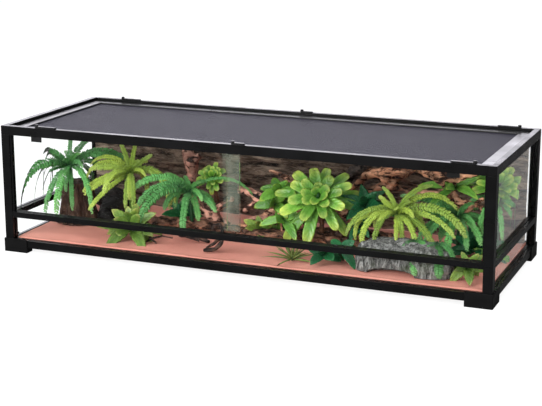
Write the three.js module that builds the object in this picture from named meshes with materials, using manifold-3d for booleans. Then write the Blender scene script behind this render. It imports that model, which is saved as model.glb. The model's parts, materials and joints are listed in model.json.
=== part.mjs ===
// A low terrarium cabinet: a black metal frame glazed on every side, with two sliding glass doors in front, a
// mesh lid that lifts out, six turn latches, and the sand, bark, wood, rock and plants that furnish it.
// Millimetres, +Z up. The origin is on the ground under the middle of the cabinet, and the doors face -Y.
import * as THREE from 'three';
import Module from 'manifold-3d';
import { mergeVertices } from 'three/addons/utils/BufferGeometryUtils.js';

const wasm = await Module();
wasm.setup();

// ---- Driving dimensions ----------------------------------------------------------------------------------------
const frameWidth = 1220;
const frameDepth = 457;
const frameHeight = 315;
const fit = 0.3; // clearance between pieces that touch

const postSize = 22;
const bottomRailLow = 12.5;
const bottomRailHeight = 18.5;
const midRailLow = 87.5;
const midRailHeight = 14;
const topRailHeight = 22;
const rimWidth = 14;
const ledgeWidth = 30;
const ledgeDrop = 14; // from the top of the rim down to the ledge that carries the lid

const glassThickness = 4;
const glassInset = 9; // from the frame's outer face to a fixed pane
const glassTuck = 5; // how far a pane's edge goes into its groove
const floorGlassLow = 20;

const footArm = 64;
const footProud = 3;
const footHeight = 34;

const frontDoorInset = 5;
const rearDoorInset = 14;
const doorTuck = 4.5;
const doorOverlap = 36;
const jambWidth = 5;
const jambWeb = 1.2;
const jambCheek = 2; // wall of the jamb on each side of its groove
const gripLength = 28;
const gripHeight = 12;
const gripThickness = 3;
const gripFromPost = 61;

const lidInset = 18.5;
const lidStripWidth = 26;
const lidThickness = 6.7;
const lidCornerArm = 60;
const screenThickness = 0.8;
const screenDrop = 4; // from the top of the lid strips down to the screen
const screenTuck = 5;
const screenHolesAlong = 12;
const screenHolesAcross = 4;
const screenBar = 14; // left between two holes of the screen

const latchWidth = 9;
const latchThickness = 2.8;
const latchKnobRadius = 4;
const latchKnobHeight = 3.7;
const latchStudRadius = 2.2;
const latchStudDepth = 7;
const latchInset = 10;
const cornerLatchLength = 58;
const centreLatchLength = 34;
const leftLatchFromEnd = 95;
const rightLatchFromEnd = 50;

const sandDepth = 12;
const backdropThickness = 16;
const backdropTopGap = 6.4; // from the top rail down to the backdrop
const backdropRelief = 7;
const backdropRidge = 47; // the ridges' spacing along the sheet

const logFromLeft = 88; // the log's axis, from the frame's left face
const logFromBack = 250.5;
const logRadius = 50;
const logHeight = 108;
const logLean = 9;

const driftwoodFromRight = 706; // its left foot, from the frame's right face
const driftwoodSpan = 542;
const driftwoodReach = 100; // how far it comes forward from the backdrop
const driftwoodRise = 240;
const driftwoodGirth = 13; // radius of its thickest limb

const rockFromRight = 225;
const rockFromFront = 100.5;
const rockLength = 236;
const rockDepth = 116;
const rockHeight = 68;
const caveRadius = 24;

const wallClearance = 8; // least distance from a leaf's tip to the glass and to the backdrop
const leafThickness = 3;
const plotGap = 14; // between the leaves of neighbouring plants
const leftPlotsMeet = 176; // where the two left plants' plots meet, from the frame's left face

const frondWidth = 24;
const fernLeft = { leftOfLog: 22, crownHeight: 178, stemRadius: 8, inner: 160, outer: 190 };
const limeLeft = { fromLeft: 236, fromBack: 240.5, crownHeight: 172, stemRadius: 6, inner: 158, outer: 168 };
const limeRight = { fromRight: 272, behindRock: 82, crownHeight: 142, stemRadius: 6, inner: 178, outer: 150 };
const bromeliad = { fromRight: 488, fromBack: 208.5, crownHeight: 146, stemRadius: 8, inner: 60, outer: 102 };
const bromeliadLeafWidth = 27;

// ---- Sizes worked out from the driving dimensions --------------------------------------------------------------
const halfWidth = frameWidth / 2;
const halfDepth = frameDepth / 2;
const bottomRailTop = bottomRailLow + bottomRailHeight;
const midRailTop = midRailLow + midRailHeight;
const topRailLow = frameHeight - topRailHeight;
const ledgeTop = frameHeight - ledgeDrop;
const lidLow = ledgeTop + fit;
const lidTop = lidLow + lidThickness;
const screenTop = lidTop - screenDrop;
const screenLow = screenTop - screenThickness;
const openingHalf = halfWidth - postSize;
const sandLow = floorGlassLow + glassThickness + fit;
const sandTop = sandLow + sandDepth;
const onSand = sandTop + fit;
const lidReach = lidInset + lidStripWidth;
const latchSeat = frameHeight + fit;
const backdropHeight = topRailLow - backdropTopGap - onSand;

// ---- Materials -------------------------------------------------------------------------------------------------
const paint = (color, roughness, metalness = 0, opacity = 1) =>
  new THREE.MeshStandardMaterial({ color, roughness, metalness, opacity, transparent: opacity < 1 });

const satinBlack = paint(0x1b1a1c, 0.35, 0.6);
const bootBlack = paint(0x202022, 0.5);
const glassClear = paint(0xdfe9e6, 0.03, 0, 0.25);
const meshGrey = paint(0x55545f, 0.6, 0.5);
const latchBlack = paint(0x26252a, 0.4);
const sandPink = paint(0xe0a08e, 0.95);
const barkBrown = paint(0x4d3a2e, 0.9);
const woodBrown = paint(0xa06f52, 0.8);
const rockGrey = paint(0x77757a, 0.85);
const fernGreen = paint(0x3f9a4a, 0.6);
const limeGreen = paint(0xa2c238, 0.6);
const bromeliadGreen = paint(0x6fa92f, 0.5);

// ---- Solids: boxes, joins and cuts -----------------------------------------------------------------------------
const group = new THREE.Group();

function ordered(a, b) {
  return a < b ? [a, b] : [b, a];
}

// A box that fills three spans, one along each axis.
function block([x0, x1], [y0, y1], [z0, z1]) {
  const box = new THREE.BoxGeometry(x1 - x0, y1 - y0, z1 - z0);
  box.translate((x0 + x1) / 2, (y0 + y1) / 2, (z0 + z1) / 2);
  return box;
}

function toSolid(geometry) {
  const bare = geometry.clone();
  bare.deleteAttribute('normal');
  bare.deleteAttribute('uv');
  const merged = mergeVertices(bare, 1e-4);
  const vertProperties = Float32Array.from(merged.attributes.position.array);
  const triVerts = Uint32Array.from(merged.index.array);
  return new wasm.Manifold(new wasm.Mesh({ numProp: 3, vertProperties, triVerts }));
}

function toGeometry(solid) {
  const mesh = solid.getMesh();
  const geometry = new THREE.BufferGeometry();
  geometry.setAttribute('position', new THREE.BufferAttribute(Float32Array.from(mesh.vertProperties), 3));
  geometry.setIndex(new THREE.BufferAttribute(Uint32Array.from(mesh.triVerts), 1));
  geometry.computeVertexNormals();
  return geometry;
}

// Joins the first list of shapes into one body and cuts the second list out of it.
function shape(joined, removed = []) {
  const whole = joined.map(toSolid).reduce((sum, next) => sum.add(next));
  return toGeometry(removed.map(toSolid).reduce((rest, next) => rest.subtract(next), whole));
}

// Joins shapes that cross each other and keeps the outer skin alone, so that no pocket is sealed among them.
function skin(joined) {
  const whole = joined.map(toSolid).reduce((sum, next) => sum.add(next));
  const shells = whole.decompose().sort((a, b) => b.volume() - a.volume());
  return toGeometry(shells[0]);
}

function piece(name, geometry, material) {
  const mesh = new THREE.Mesh(geometry, material);
  mesh.name = name;
  group.add(mesh);
  return mesh;
}

// ---- The four sides, each seen as: along the side, inset from the outer face, height ---------------------------
const sides = {
  front: { alongX: true, sign: -1 },
  back: { alongX: true, sign: 1 },
  left: { alongX: false, sign: -1 },
  right: { alongX: false, sign: 1 },
};

function sideBlock(side, along, inset, heights) {
  const { alongX, sign } = sides[side];
  const reach = alongX ? halfDepth : halfWidth;
  const across = ordered(sign * (reach - inset[0]), sign * (reach - inset[1]));
  return alongX ? block(along, across, heights) : block(across, along, heights);
}

// Half the clear length between the two posts of a side.
function clearHalf(side) {
  return (sides[side].alongX ? halfWidth : halfDepth) - postSize;
}

const corners = [
  { name: 'front_left', x: -1, y: -1 },
  { name: 'front_right', x: 1, y: -1 },
  { name: 'back_left', x: -1, y: 1 },
  { name: 'back_right', x: 1, y: 1 },
];

function cornerBlock(corner, insetX, insetY, heights) {
  const xs = ordered(corner.x * (halfWidth - insetX[0]), corner.x * (halfWidth - insetX[1]));
  const ys = ordered(corner.y * (halfDepth - insetY[0]), corner.y * (halfDepth - insetY[1]));
  return block(xs, ys, heights);
}

// ---- Grooves ---------------------------------------------------------------------------------------------------
const past = 1; // how far a cut runs beyond the face that it opens
const paneGroove = [glassInset - fit, glassInset + glassThickness + fit];
const frontDoorGroove = [frontDoorInset - fit, frontDoorInset + glassThickness + fit];
const rearDoorGroove = [rearDoorInset - fit, rearDoorInset + glassThickness + fit];

function grooveAlong(side, inset, heights) {
  const run = clearHalf(side) + past;
  return sideBlock(side, [-run, run], inset, heights);
}

// ---- Frame -----------------------------------------------------------------------------------------------------
function bottomRail(side) {
  const run = clearHalf(side) - fit;
  const bar = sideBlock(side, [-run, run], [0, postSize], [bottomRailLow, bottomRailTop]);
  const paneSlot = grooveAlong(side, paneGroove, [bottomRailTop - glassTuck - fit, bottomRailTop + past]);
  const floorHeights = [floorGlassLow - fit, floorGlassLow + glassThickness + fit];
  const floorSlot = grooveAlong(side, [postSize - glassTuck - fit, postSize + past], floorHeights);
  return shape([bar], [paneSlot, floorSlot]);
}

function midRail(side) {
  const run = clearHalf(side) - fit;
  const bar = sideBlock(side, [-run, run], [0, postSize], [midRailLow, midRailTop]);
  const cuts = [grooveAlong(side, paneGroove, [midRailLow - past, midRailLow + glassTuck + fit])];
  if (side === 'front') {
    const doorSlot = [midRailTop - doorTuck - fit, midRailTop + past];
    cuts.push(grooveAlong(side, frontDoorGroove, doorSlot));
    cuts.push(grooveAlong(side, rearDoorGroove, doorSlot));
  } else {
    cuts.push(grooveAlong(side, paneGroove, [midRailTop - glassTuck - fit, midRailTop + past]));
  }
  return shape([bar], cuts);
}

function post(corner) {
  const bar = cornerBlock(corner, [0, postSize], [0, postSize], [bottomRailLow, topRailLow - fit]);
  const slotDepth = [postSize - glassTuck - fit, postSize + past];
  const slotTop = corner.y < 0 ? midRailLow : topRailLow;
  const longSlot = cornerBlock(corner, slotDepth, paneGroove, [bottomRailTop, slotTop]);
  const sideSlot = cornerBlock(corner, paneGroove, slotDepth, [bottomRailTop, topRailLow]);
  return shape([bar], [longSlot, sideSlot]);
}

function boot(corner) {
  const wall = [-footProud, -fit];
  const arm = [-footProud, footArm - footProud];
  const sole = [-footProud, postSize];
  const soleTop = bottomRailLow - fit;
  return shape([
    cornerBlock(corner, arm, sole, [0, soleTop]),
    cornerBlock(corner, sole, arm, [0, soleTop]),
    cornerBlock(corner, arm, wall, [0, footHeight]),
    cornerBlock(corner, wall, arm, [0, footHeight]),
  ]);
}

// The cap closes the top of a post. Its inner corner steps down to the ledge to let the lid in.
function cornerCap(corner) {
  const step = [rimWidth, postSize + past];
  return shape(
    [cornerBlock(corner, [0, postSize], [0, postSize], [topRailLow, frameHeight])],
    [cornerBlock(corner, step, step, [ledgeTop, frameHeight + past])],
  );
}

// ---- Latches: where each one turns, and which way it lies at rest -----------------------------------------------
const leftStud = -halfWidth + leftLatchFromEnd;
const rightStud = halfWidth - rightLatchFromEnd;
const latches = ['front', 'back'].flatMap((side) => [
  { name: `latch_${side}_left`, side, stud: leftStud, lies: 1, length: cornerLatchLength },
  { name: `latch_${side}_centre`, side, stud: 0, lies: 1, length: centreLatchLength },
  { name: `latch_${side}_right`, side, stud: rightStud, lies: -1, length: cornerLatchLength },
]);

function studAt({ side, stud }) {
  return [stud, sides[side].sign * (halfDepth - latchInset)];
}

function upright(radius, low, high, [x, y], facets = 20) {
  const rod = new THREE.CylinderGeometry(radius, radius, high - low, facets);
  rod.rotateX(Math.PI / 2);
  rod.translate(x, y, (low + high) / 2);
  return rod;
}

function latch(spec) {
  const [x, y] = studAt(spec);
  const bar = new THREE.Shape();
  const round = latchWidth / 2;
  bar.absarc(0, 0, round, Math.PI / 2, 1.5 * Math.PI);
  bar.absarc(spec.length - latchWidth, 0, round, -Math.PI / 2, Math.PI / 2);
  const plate = new THREE.ExtrudeGeometry(bar, { depth: latchThickness, bevelEnabled: false, curveSegments: 8 });
  if (spec.lies < 0) plate.rotateZ(Math.PI);
  plate.translate(x, y, latchSeat);
  const knobLow = latchSeat + latchThickness / 2;
  const knobTop = latchSeat + latchThickness + latchKnobHeight;
  const knob = upright(latchKnobRadius, knobLow, knobTop, [x, y]);
  const stud = upright(latchStudRadius, latchSeat - latchStudDepth, knobLow, [x, y]);
  return shape([plate, knob, stud]);
}

function topRail(side) {
  const run = clearHalf(side) - fit;
  const onLong = sides[side].alongX;
  // The ledges of the two short rails stop where those of the long rails begin.
  const ledgeRun = onLong ? run : halfDepth - ledgeWidth - fit;
  const rim = sideBlock(side, [-run, run], [0, rimWidth], [topRailLow, frameHeight]);
  const ledge = sideBlock(side, [-ledgeRun, ledgeRun], [0, ledgeWidth], [topRailLow, ledgeTop]);
  const cuts = [];
  if (side === 'front') {
    const doorSlot = [topRailLow - past, topRailLow + doorTuck + fit];
    cuts.push(grooveAlong(side, frontDoorGroove, doorSlot));
    cuts.push(grooveAlong(side, rearDoorGroove, doorSlot));
  } else {
    cuts.push(grooveAlong(side, paneGroove, [topRailLow - past, topRailLow + glassTuck + fit]));
  }
  const studHole = [frameHeight - latchStudDepth, frameHeight + past];
  for (const spec of latches.filter((one) => one.side === side)) {
    cuts.push(upright(latchStudRadius + fit, ...studHole, studAt(spec)));
  }
  return shape([rim, ledge], cuts);
}

for (const side of Object.keys(sides)) {
  piece(`bottom_rail_${side}`, bottomRail(side), satinBlack);
  piece(`top_rail_${side}`, topRail(side), satinBlack);
}
for (const side of ['front', 'left', 'right']) {
  piece(`mid_rail_${side}`, midRail(side), satinBlack);
}
for (const corner of corners) {
  piece(`post_${corner.name}`, post(corner), satinBlack);
  piece(`foot_${corner.name}`, boot(corner), bootBlack);
  piece(`corner_cap_${corner.name}`, cornerCap(corner), satinBlack);
}

// ---- Fixed glass -----------------------------------------------------------------------------------------------
// A pane's four edges go into the rails and posts, and its corners are notched round the rail ends.
function pane(side, low, high) {
  const half = clearHalf(side);
  const wide = half + glassTuck;
  const tall = half - 2 * fit;
  const inset = [glassInset, glassInset + glassThickness];
  return shape([
    sideBlock(side, [-wide, wide], inset, [low + fit, high - fit]),
    sideBlock(side, [-tall, tall], inset, [low - glassTuck, high + glassTuck]),
  ]);
}

function floorPane() {
  const heights = [floorGlassLow, floorGlassLow + glassThickness];
  const insideX = halfWidth - postSize;
  const insideY = halfDepth - postSize;
  const notch = 2 * fit;
  return shape([
    block([-insideX - glassTuck, insideX + glassTuck], [-insideY + notch, insideY - notch], heights),
    block([-insideX + notch, insideX - notch], [-insideY - glassTuck, insideY + glassTuck], heights),
  ]);
}

piece('floor_pane', floorPane(), glassClear);
piece('back_pane', pane('back', bottomRailTop, topRailLow), glassClear);
piece('front_lower_pane', pane('front', bottomRailTop, midRailLow), glassClear);
for (const side of ['left', 'right']) {
  piece(`${side}_lower_pane`, pane(side, bottomRailTop, midRailLow), glassClear);
  piece(`${side}_upper_pane`, pane(side, midRailTop, topRailLow), glassClear);
}

// ---- Sliding doors ---------------------------------------------------------------------------------------------
const doorHeights = [midRailTop - doorTuck, topRailLow + doorTuck];
const doorEdge = openingHalf - jambWeb - 2 * fit;
const gripHeights = [topRailLow - fit - gripHeight, topRailLow - fit];

// A jamb stands between the mid rail and the top rail against a post, and its groove takes the door's outer edge.
function jamb(sign, doorInset) {
  const span = ordered(sign * (openingHalf - fit), sign * (openingHalf - fit - jambWidth));
  const groove = ordered(sign * (openingHalf - fit - jambWeb), sign * (openingHalf - jambWidth - past));
  const heights = [midRailTop + fit, topRailLow - fit];
  const outer = [doorInset - fit - jambCheek, doorInset + glassThickness + fit + jambCheek];
  return shape(
    [sideBlock('front', span, outer, heights)],
    [sideBlock('front', groove, [doorInset - fit, doorInset + glassThickness + fit], [0, frameHeight])],
  );
}

function door(sign, doorInset) {
  const span = ordered(sign * doorEdge, -sign * doorOverlap / 2);
  return sideBlock('front', span, [doorInset, doorInset + glassThickness], doorHeights);
}

function grip(sign, doorInset) {
  const outer = openingHalf - gripFromPost;
  const span = ordered(sign * outer, sign * (outer - gripLength));
  return sideBlock('front', span, [doorInset - fit - gripThickness, doorInset - fit], gripHeights);
}

piece('door_jamb_left', jamb(-1, frontDoorInset), satinBlack);
piece('door_jamb_right', jamb(1, rearDoorInset), satinBlack);
piece('door_left', door(-1, frontDoorInset), glassClear);
piece('door_right', door(1, rearDoorInset), glassClear);
piece('door_grip_left', grip(-1, frontDoorInset), latchBlack);
piece('door_grip_right', grip(1, rearDoorInset), latchBlack);

// ---- Lid -------------------------------------------------------------------------------------------------------
const screenHalfX = halfWidth - lidReach + screenTuck;
const screenHalfY = halfDepth - lidReach + screenTuck;

function screenBlock(spare) {
  return block(
    [-screenHalfX - spare, screenHalfX + spare],
    [-screenHalfY - spare, screenHalfY + spare],
    [screenLow - spare, screenTop + spare],
  );
}

function lidStrip(side) {
  const { alongX } = sides[side];
  const run = (alongX ? halfWidth : halfDepth) - lidInset - lidCornerArm - fit;
  const bar = sideBlock(side, [-run, run], [lidInset, lidReach], [lidLow, lidTop]);
  return shape([bar], [screenBlock(fit)]);
}

function lidCorner(corner) {
  const arm = [lidInset, lidInset + lidCornerArm];
  const strip = [lidInset, lidReach];
  return shape(
    [cornerBlock(corner, arm, strip, [lidLow, lidTop]), cornerBlock(corner, strip, arm, [lidLow, lidTop])],
    [screenBlock(fit)],
  );
}

for (const side of Object.keys(sides)) {
  piece(`lid_strip_${side}`, lidStrip(side), satinBlack);
}
for (const corner of corners) {
  piece(`lid_corner_${corner.name}`, lidCorner(corner), satinBlack);
}

// The mesh itself is too fine for a solid. A plain grid of holes lets light and air through in its place.
function screenGrid() {
  const pitchX = (2 * (screenHalfX - screenTuck)) / screenHolesAlong;
  const pitchY = (2 * (screenHalfY - screenTuck)) / screenHolesAcross;
  const holes = [];
  for (let i = 0; i < screenHolesAlong; i += 1) {
    for (let j = 0; j < screenHolesAcross; j += 1) {
      const x = (i + 0.5 - screenHolesAlong / 2) * pitchX;
      const y = (j + 0.5 - screenHolesAcross / 2) * pitchY;
      const [halfX, halfY] = [(pitchX - screenBar) / 2, (pitchY - screenBar) / 2];
      holes.push(block([x - halfX, x + halfX], [y - halfY, y + halfY], [lidLow, lidTop]));
    }
  }
  return shape([screenBlock(0)], holes);
}

piece('lid_screen', screenGrid(), meshGrey);

for (const spec of latches) {
  piece(spec.name, latch(spec), latchBlack);
}

// ---- Sand and bark backdrop ------------------------------------------------------------------------------------
const insideX = halfWidth - postSize - 2 * fit;
const insideY = halfDepth - postSize - 2 * fit;
const backdropFront = insideY - backdropThickness;

piece('sand_bed', block([-insideX, insideX], [-insideY, insideY], [sandLow, sandTop]), sandPink);

// The bark sheet stands on the sand against the back pane, and its front face has shallow ridges.
function backdrop() {
  const columns = 26;
  const rows = 6;
  const thickness = backdropThickness - backdropRelief;
  const sheet = new THREE.BoxGeometry(2 * insideX, thickness, backdropHeight, columns, 1, rows);
  sheet.translate(0, insideY - thickness / 2, onSand + backdropHeight / 2);
  const front = insideY - thickness;
  const edge = 1; // the sheet's outline stays straight within this margin
  const at = sheet.attributes.position;
  for (let i = 0; i < at.count; i += 1) {
    const [x, y, z] = [at.getX(i), at.getY(i), at.getZ(i)];
    const inner = Math.abs(x) < insideX - edge && z > onSand + edge && z < onSand + backdropHeight - edge;
    if (inner && y < front + edge) {
      const [u, w] = [x / backdropRidge, z / backdropRidge];
      const ridge = 0.5 + 0.5 * Math.sin(u + 2.1 * Math.sin(1.5 * w)) * Math.cos(2.5 * w + 0.6 * u);
      at.setY(i, front - backdropRelief * ridge);
    }
  }
  return sheet;
}

piece('bark_backdrop', backdrop(), barkBrown);

// ---- Wood and rock ---------------------------------------------------------------------------------------------
// A limb of wood: a round section swept along a curve through its points.
function limb(points, radius, steps = 10, facets = 7) {
  const route = new THREE.CatmullRomCurve3(points.map((p) => new THREE.Vector3(...p)));
  const section = new THREE.Shape();
  section.absarc(0, 0, radius, 0, 2 * Math.PI);
  const sweep = { steps, curveSegments: facets, extrudePath: route, bevelEnabled: false };
  return new THREE.ExtrudeGeometry(section, sweep);
}

// Everything under the sand's surface, wide enough for any piece that stands on it.
const underSand = () => block([-halfWidth, halfWidth], [-halfDepth, halfDepth], [-frameHeight, onSand]);

// The cork log stands on the sand at the left and carries the left fern.
const logCentre = [-halfWidth + logFromLeft, halfDepth - logFromBack];

function corkLog() {
  const profile = [
    [0, 0],
    [logRadius, 0],
    [logRadius + logLean, logHeight / 3],
    [logRadius - logLean, (2 * logHeight) / 3],
    [logRadius - 2 * logLean, logHeight],
    [0, logHeight],
  ].map(([r, z]) => new THREE.Vector2(r, z));
  const log = new THREE.LatheGeometry(profile, 14);
  log.rotateX(Math.PI / 2);
  log.translate(logCentre[0], logCentre[1], onSand);
  return log;
}

piece('cork_log', shape([corkLog()]), barkBrown);

// Driftwood: one root with limbs that climb from the sand in front of the backdrop. Each point is given as shares
// of the root's span, of its reach forward from the backdrop and of its rise. Its feet are cut flat on the sand.
const driftwoodLimbs = [
  { girth: 1, points: [[0, 1, 0.08], [0.07, 0.9, 0.25], [0.18, 0.78, 0.41], [0.29, 0.68, 0.47], [0.42, 0.58, 0.4],
    [0.57, 0.62, 0.08]] },
  { girth: 0.77, points: [[0.42, 0.58, 0.4], [0.53, 0.52, 0.58], [0.66, 0.48, 0.7], [0.79, 0.52, 0.89],
    [0.86, 0.56, 1]] },
  { girth: 0.62, points: [[0.66, 0.48, 0.7], [0.79, 0.5, 0.62], [0.9, 0.58, 0.66], [1, 0.66, 0.82]] },
  { girth: 0.62, points: [[0.29, 0.68, 0.47], [0.23, 0.72, 0.62], [0.13, 0.68, 0.73]] },
];
const driftwoodLeft = halfWidth - driftwoodFromRight;

function driftwoodPoint([along, forward, up]) {
  return [driftwoodLeft + along * driftwoodSpan, backdropFront - forward * driftwoodReach, up * driftwoodRise];
}

const limbs = driftwoodLimbs.map(({ points, girth }) => limb(points.map(driftwoodPoint), girth * driftwoodGirth));
piece('driftwood', shape(limbs, [underSand()]), woodBrown);

// The rock hide: a low weathered dome, flat below, with a cave mouth at its left front.
const rockCentre = [halfWidth - rockFromRight, -halfDepth + rockFromFront];

function rockHide() {
  const dome = new THREE.SphereGeometry(1, 22, 14);
  const at = dome.attributes.position;
  for (let i = 0; i < at.count; i += 1) {
    const [x, y, z] = [at.getX(i), at.getY(i), at.getZ(i)];
    const lump = 1 + 0.07 * Math.sin(5 * x + 3 * z) * Math.cos(4 * y - 2 * x);
    at.setXYZ(i, (x * lump * rockLength) / 2, (y * lump * rockDepth) / 2, z * lump * rockHeight);
  }
  dome.translate(rockCentre[0], rockCentre[1], onSand);
  const caveLength = 0.6 * rockDepth; // from the middle of the rock out through its front
  const cave = new THREE.CylinderGeometry(caveRadius, caveRadius, caveLength, 16);
  cave.translate(rockCentre[0] - rockLength / 6, rockCentre[1] - caveLength / 2, onSand);
  return shape([dome], [underSand(), cave]);
}

piece('rock_hide', rockHide(), rockGrey);

// ---- Plants ----------------------------------------------------------------------------------------------------
// One leaf starts level with `rise`, turns down by `droop` over its length and ends in a point. Four points make
// each section: the two edges, the ridge above and the keel below.
function leaf({ heading, rise, droop, length, width, thickness, steps }) {
  const places = [];
  const out = new THREE.Vector3(Math.cos(heading), Math.sin(heading), 0);
  const side = new THREE.Vector3(-Math.sin(heading), Math.cos(heading), 0);
  const centre = new THREE.Vector3();
  for (let i = 0; i <= steps; i += 1) {
    const t = i / steps;
    const angle = rise - droop * t;
    const along = out.clone().multiplyScalar(Math.cos(angle)).add(new THREE.Vector3(0, 0, Math.sin(angle)));
    const normal = new THREE.Vector3().crossVectors(along, side).negate();
    if (i > 0) centre.addScaledVector(along, length / steps);
    if (i === steps) {
      places.push(centre.clone());
    } else {
      const half = (width / 2) * Math.max(0.35, Math.sin(Math.PI * (0.12 + 0.8 * t)));
      places.push(centre.clone().addScaledVector(side, half));
      places.push(centre.clone().addScaledVector(normal, thickness / 2));
      places.push(centre.clone().addScaledVector(side, -half));
      places.push(centre.clone().addScaledVector(normal, -thickness / 2));
    }
  }
  const faces = [0, 1, 2, 0, 2, 3];
  for (let i = 0; i < steps; i += 1) {
    for (let k = 0; k < 4; k += 1) {
      const a = 4 * i + k;
      const b = 4 * i + ((k + 1) % 4);
      if (i === steps - 1) {
        faces.push(b, a, 4 * steps);
      } else {
        faces.push(a, b + 4, b, a, a + 4, b + 4);
      }
    }
  }
  const geometry = new THREE.BufferGeometry();
  const flat = places.flatMap((p) => [p.x, p.y, p.z]);
  geometry.setAttribute('position', new THREE.BufferAttribute(Float32Array.from(flat), 3));
  geometry.setIndex(faces);
  return geometry;
}

const goldenAngle = Math.PI * (3 - Math.sqrt(5));
const inside = {
  left: -insideX + wallClearance,
  right: insideX - wallClearance,
  front: -insideY + wallClearance,
  back: backdropFront - wallClearance,
};

// How far a leaf can run from x, y along its heading before it leaves its plot.
function room(x, y, heading, plot) {
  const [cx, cy] = [Math.cos(heading), Math.sin(heading)];
  const alongX = (cx > 0 ? plot.right - x : plot.left - x) / cx;
  const alongY = (cy > 0 ? plot.back - y : plot.front - y) / cy;
  return Math.min(Math.abs(alongX), Math.abs(alongY));
}

// A plant: a stem that stands at `foot`, and a crown of leaves at its top, tipped over by `tilt` towards -Y.
const between = THREE.MathUtils.lerp;

function plant(size, { foot, leaves, rise, droop, tilt = 0, plot = {}, ...blade }) {
  const [x, y, base] = foot;
  const parts = [upright(size.stemRadius, base, size.crownHeight, [x, y], 10)];
  const crown = new THREE.SphereGeometry(size.stemRadius * 1.8, 10, 6);
  crown.translate(x, y, size.crownHeight);
  parts.push(crown);
  for (let i = 0; i < leaves; i += 1) {
    const age = i / (leaves - 1);
    const heading = i * goldenAngle;
    const start = between(rise.inner, rise.outer, age);
    const bend = between(droop.inner, droop.outer, age);
    const reachOfUnit = (Math.sin(start) - Math.sin(start - bend)) / bend;
    const allowed = room(x, y, heading, { ...inside, ...plot }) / reachOfUnit;
    const run = Math.min(between(size.inner, size.outer, age), allowed);
    const one = leaf({ heading, rise: start, droop: bend, length: run, thickness: leafThickness, ...blade });
    one.rotateX(tilt);
    one.translate(x, y, size.crownHeight);
    parts.push(one);
  }
  return skin(parts);
}

const frond = {
  leaves: 14,
  width: frondWidth,
  steps: 7,
  rise: { inner: 1.4, outer: 0.75 },
  droop: { inner: 1.9, outer: 2.25 },
};
const leftPlotEnd = -halfWidth + leftPlotsMeet;
const driftwoodFront = backdropFront - driftwoodReach - driftwoodGirth;

piece('fern_left', plant(fernLeft, {
  ...frond,
  foot: [logCentre[0] - fernLeft.leftOfLog, logCentre[1], onSand + logHeight + fit],
  plot: { right: leftPlotEnd - plotGap / 2 },
}), fernGreen);

piece('lime_fern_left', plant(limeLeft, {
  ...frond,
  foot: [-halfWidth + limeLeft.fromLeft, halfDepth - limeLeft.fromBack, onSand],
  plot: { left: leftPlotEnd + plotGap / 2 },
}), limeGreen);

piece('lime_fern_right', plant(limeRight, {
  ...frond,
  foot: [halfWidth - limeRight.fromRight, rockCentre[1] + limeRight.behindRock, onSand],
  plot: { back: driftwoodFront },
}), limeGreen);

piece('bromeliad_centre', plant(bromeliad, {
  foot: [halfWidth - bromeliad.fromRight, halfDepth - bromeliad.fromBack, onSand],
  leaves: 17,
  width: bromeliadLeafWidth,
  steps: 6,
  rise: { inner: 1.0, outer: 0.25 },
  droop: { inner: 0.5, outer: 0.5 },
  tilt: 0.75,
}), bromeliadGreen);

export default group;
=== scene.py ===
# %% [markdown]
# # Dressing a terrarium cabinet
# The CAD model gives every solid its size and place. Here it gets its looks: softened metal, real glass, a
# woven lid, and the sand, bark, wood, rock and plants inside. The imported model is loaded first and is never
# moved.

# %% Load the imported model
import json
import math
import random

import bpy
import numpy as np
from mathutils import Matrix, Vector, noise


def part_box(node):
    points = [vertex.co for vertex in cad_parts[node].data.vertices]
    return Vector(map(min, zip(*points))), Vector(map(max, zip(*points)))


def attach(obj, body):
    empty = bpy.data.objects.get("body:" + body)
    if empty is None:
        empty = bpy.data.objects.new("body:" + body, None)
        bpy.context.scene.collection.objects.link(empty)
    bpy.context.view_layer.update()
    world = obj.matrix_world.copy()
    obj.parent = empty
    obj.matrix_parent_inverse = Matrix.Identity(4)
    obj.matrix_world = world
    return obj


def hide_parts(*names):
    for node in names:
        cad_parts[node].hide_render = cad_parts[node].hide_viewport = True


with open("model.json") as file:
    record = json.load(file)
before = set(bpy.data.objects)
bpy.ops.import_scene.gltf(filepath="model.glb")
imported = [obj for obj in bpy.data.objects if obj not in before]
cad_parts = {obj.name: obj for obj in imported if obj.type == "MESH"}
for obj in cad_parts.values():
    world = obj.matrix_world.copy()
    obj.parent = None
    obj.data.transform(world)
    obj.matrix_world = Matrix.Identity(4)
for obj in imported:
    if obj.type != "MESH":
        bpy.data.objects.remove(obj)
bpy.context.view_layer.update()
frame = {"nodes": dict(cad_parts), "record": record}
nodes = frame["nodes"]
body_of = {node: body for body, members in frame["record"]["behaviour"]["bodies"].items() for node in members}

# %% [markdown]
# ## The camera and the studio
# The photo was taken from the right with a long lens, a little above the cabinet. A pinhole camera fitted
# to the frame's corners gives the place and the lens. The floor is pale and meets the white world far
# behind.

# %% Camera
camera_place = (1.2334, -3.0042, 0.9360)
camera_turn = 22.255  # degrees to the left of straight ahead
camera_dip = 14.0  # degrees below the horizon

camera_data = bpy.data.cameras.new("camera")
camera_data.sensor_width = 36
camera_data.lens = 91.07
camera = bpy.data.objects.new("camera", camera_data)
camera.location = camera_place
camera.rotation_euler = (math.radians(90 - camera_dip), 0, math.radians(camera_turn))
bpy.context.scene.collection.objects.link(camera)
bpy.context.scene.camera = camera
bpy.context.scene.view_settings.view_transform = "Standard"
print("lens", camera_data.lens, "mm")

# %% [markdown]
# Light Path tells what kind of ray asks for the colour. The camera sees a white surround, directly and
# through glass. Mirrored in gloss it is calmer, as in a studio whose walls are dark beyond the lamps, so
# black metal stays black. The light that it sheds on the object is plain and soft.


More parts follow.
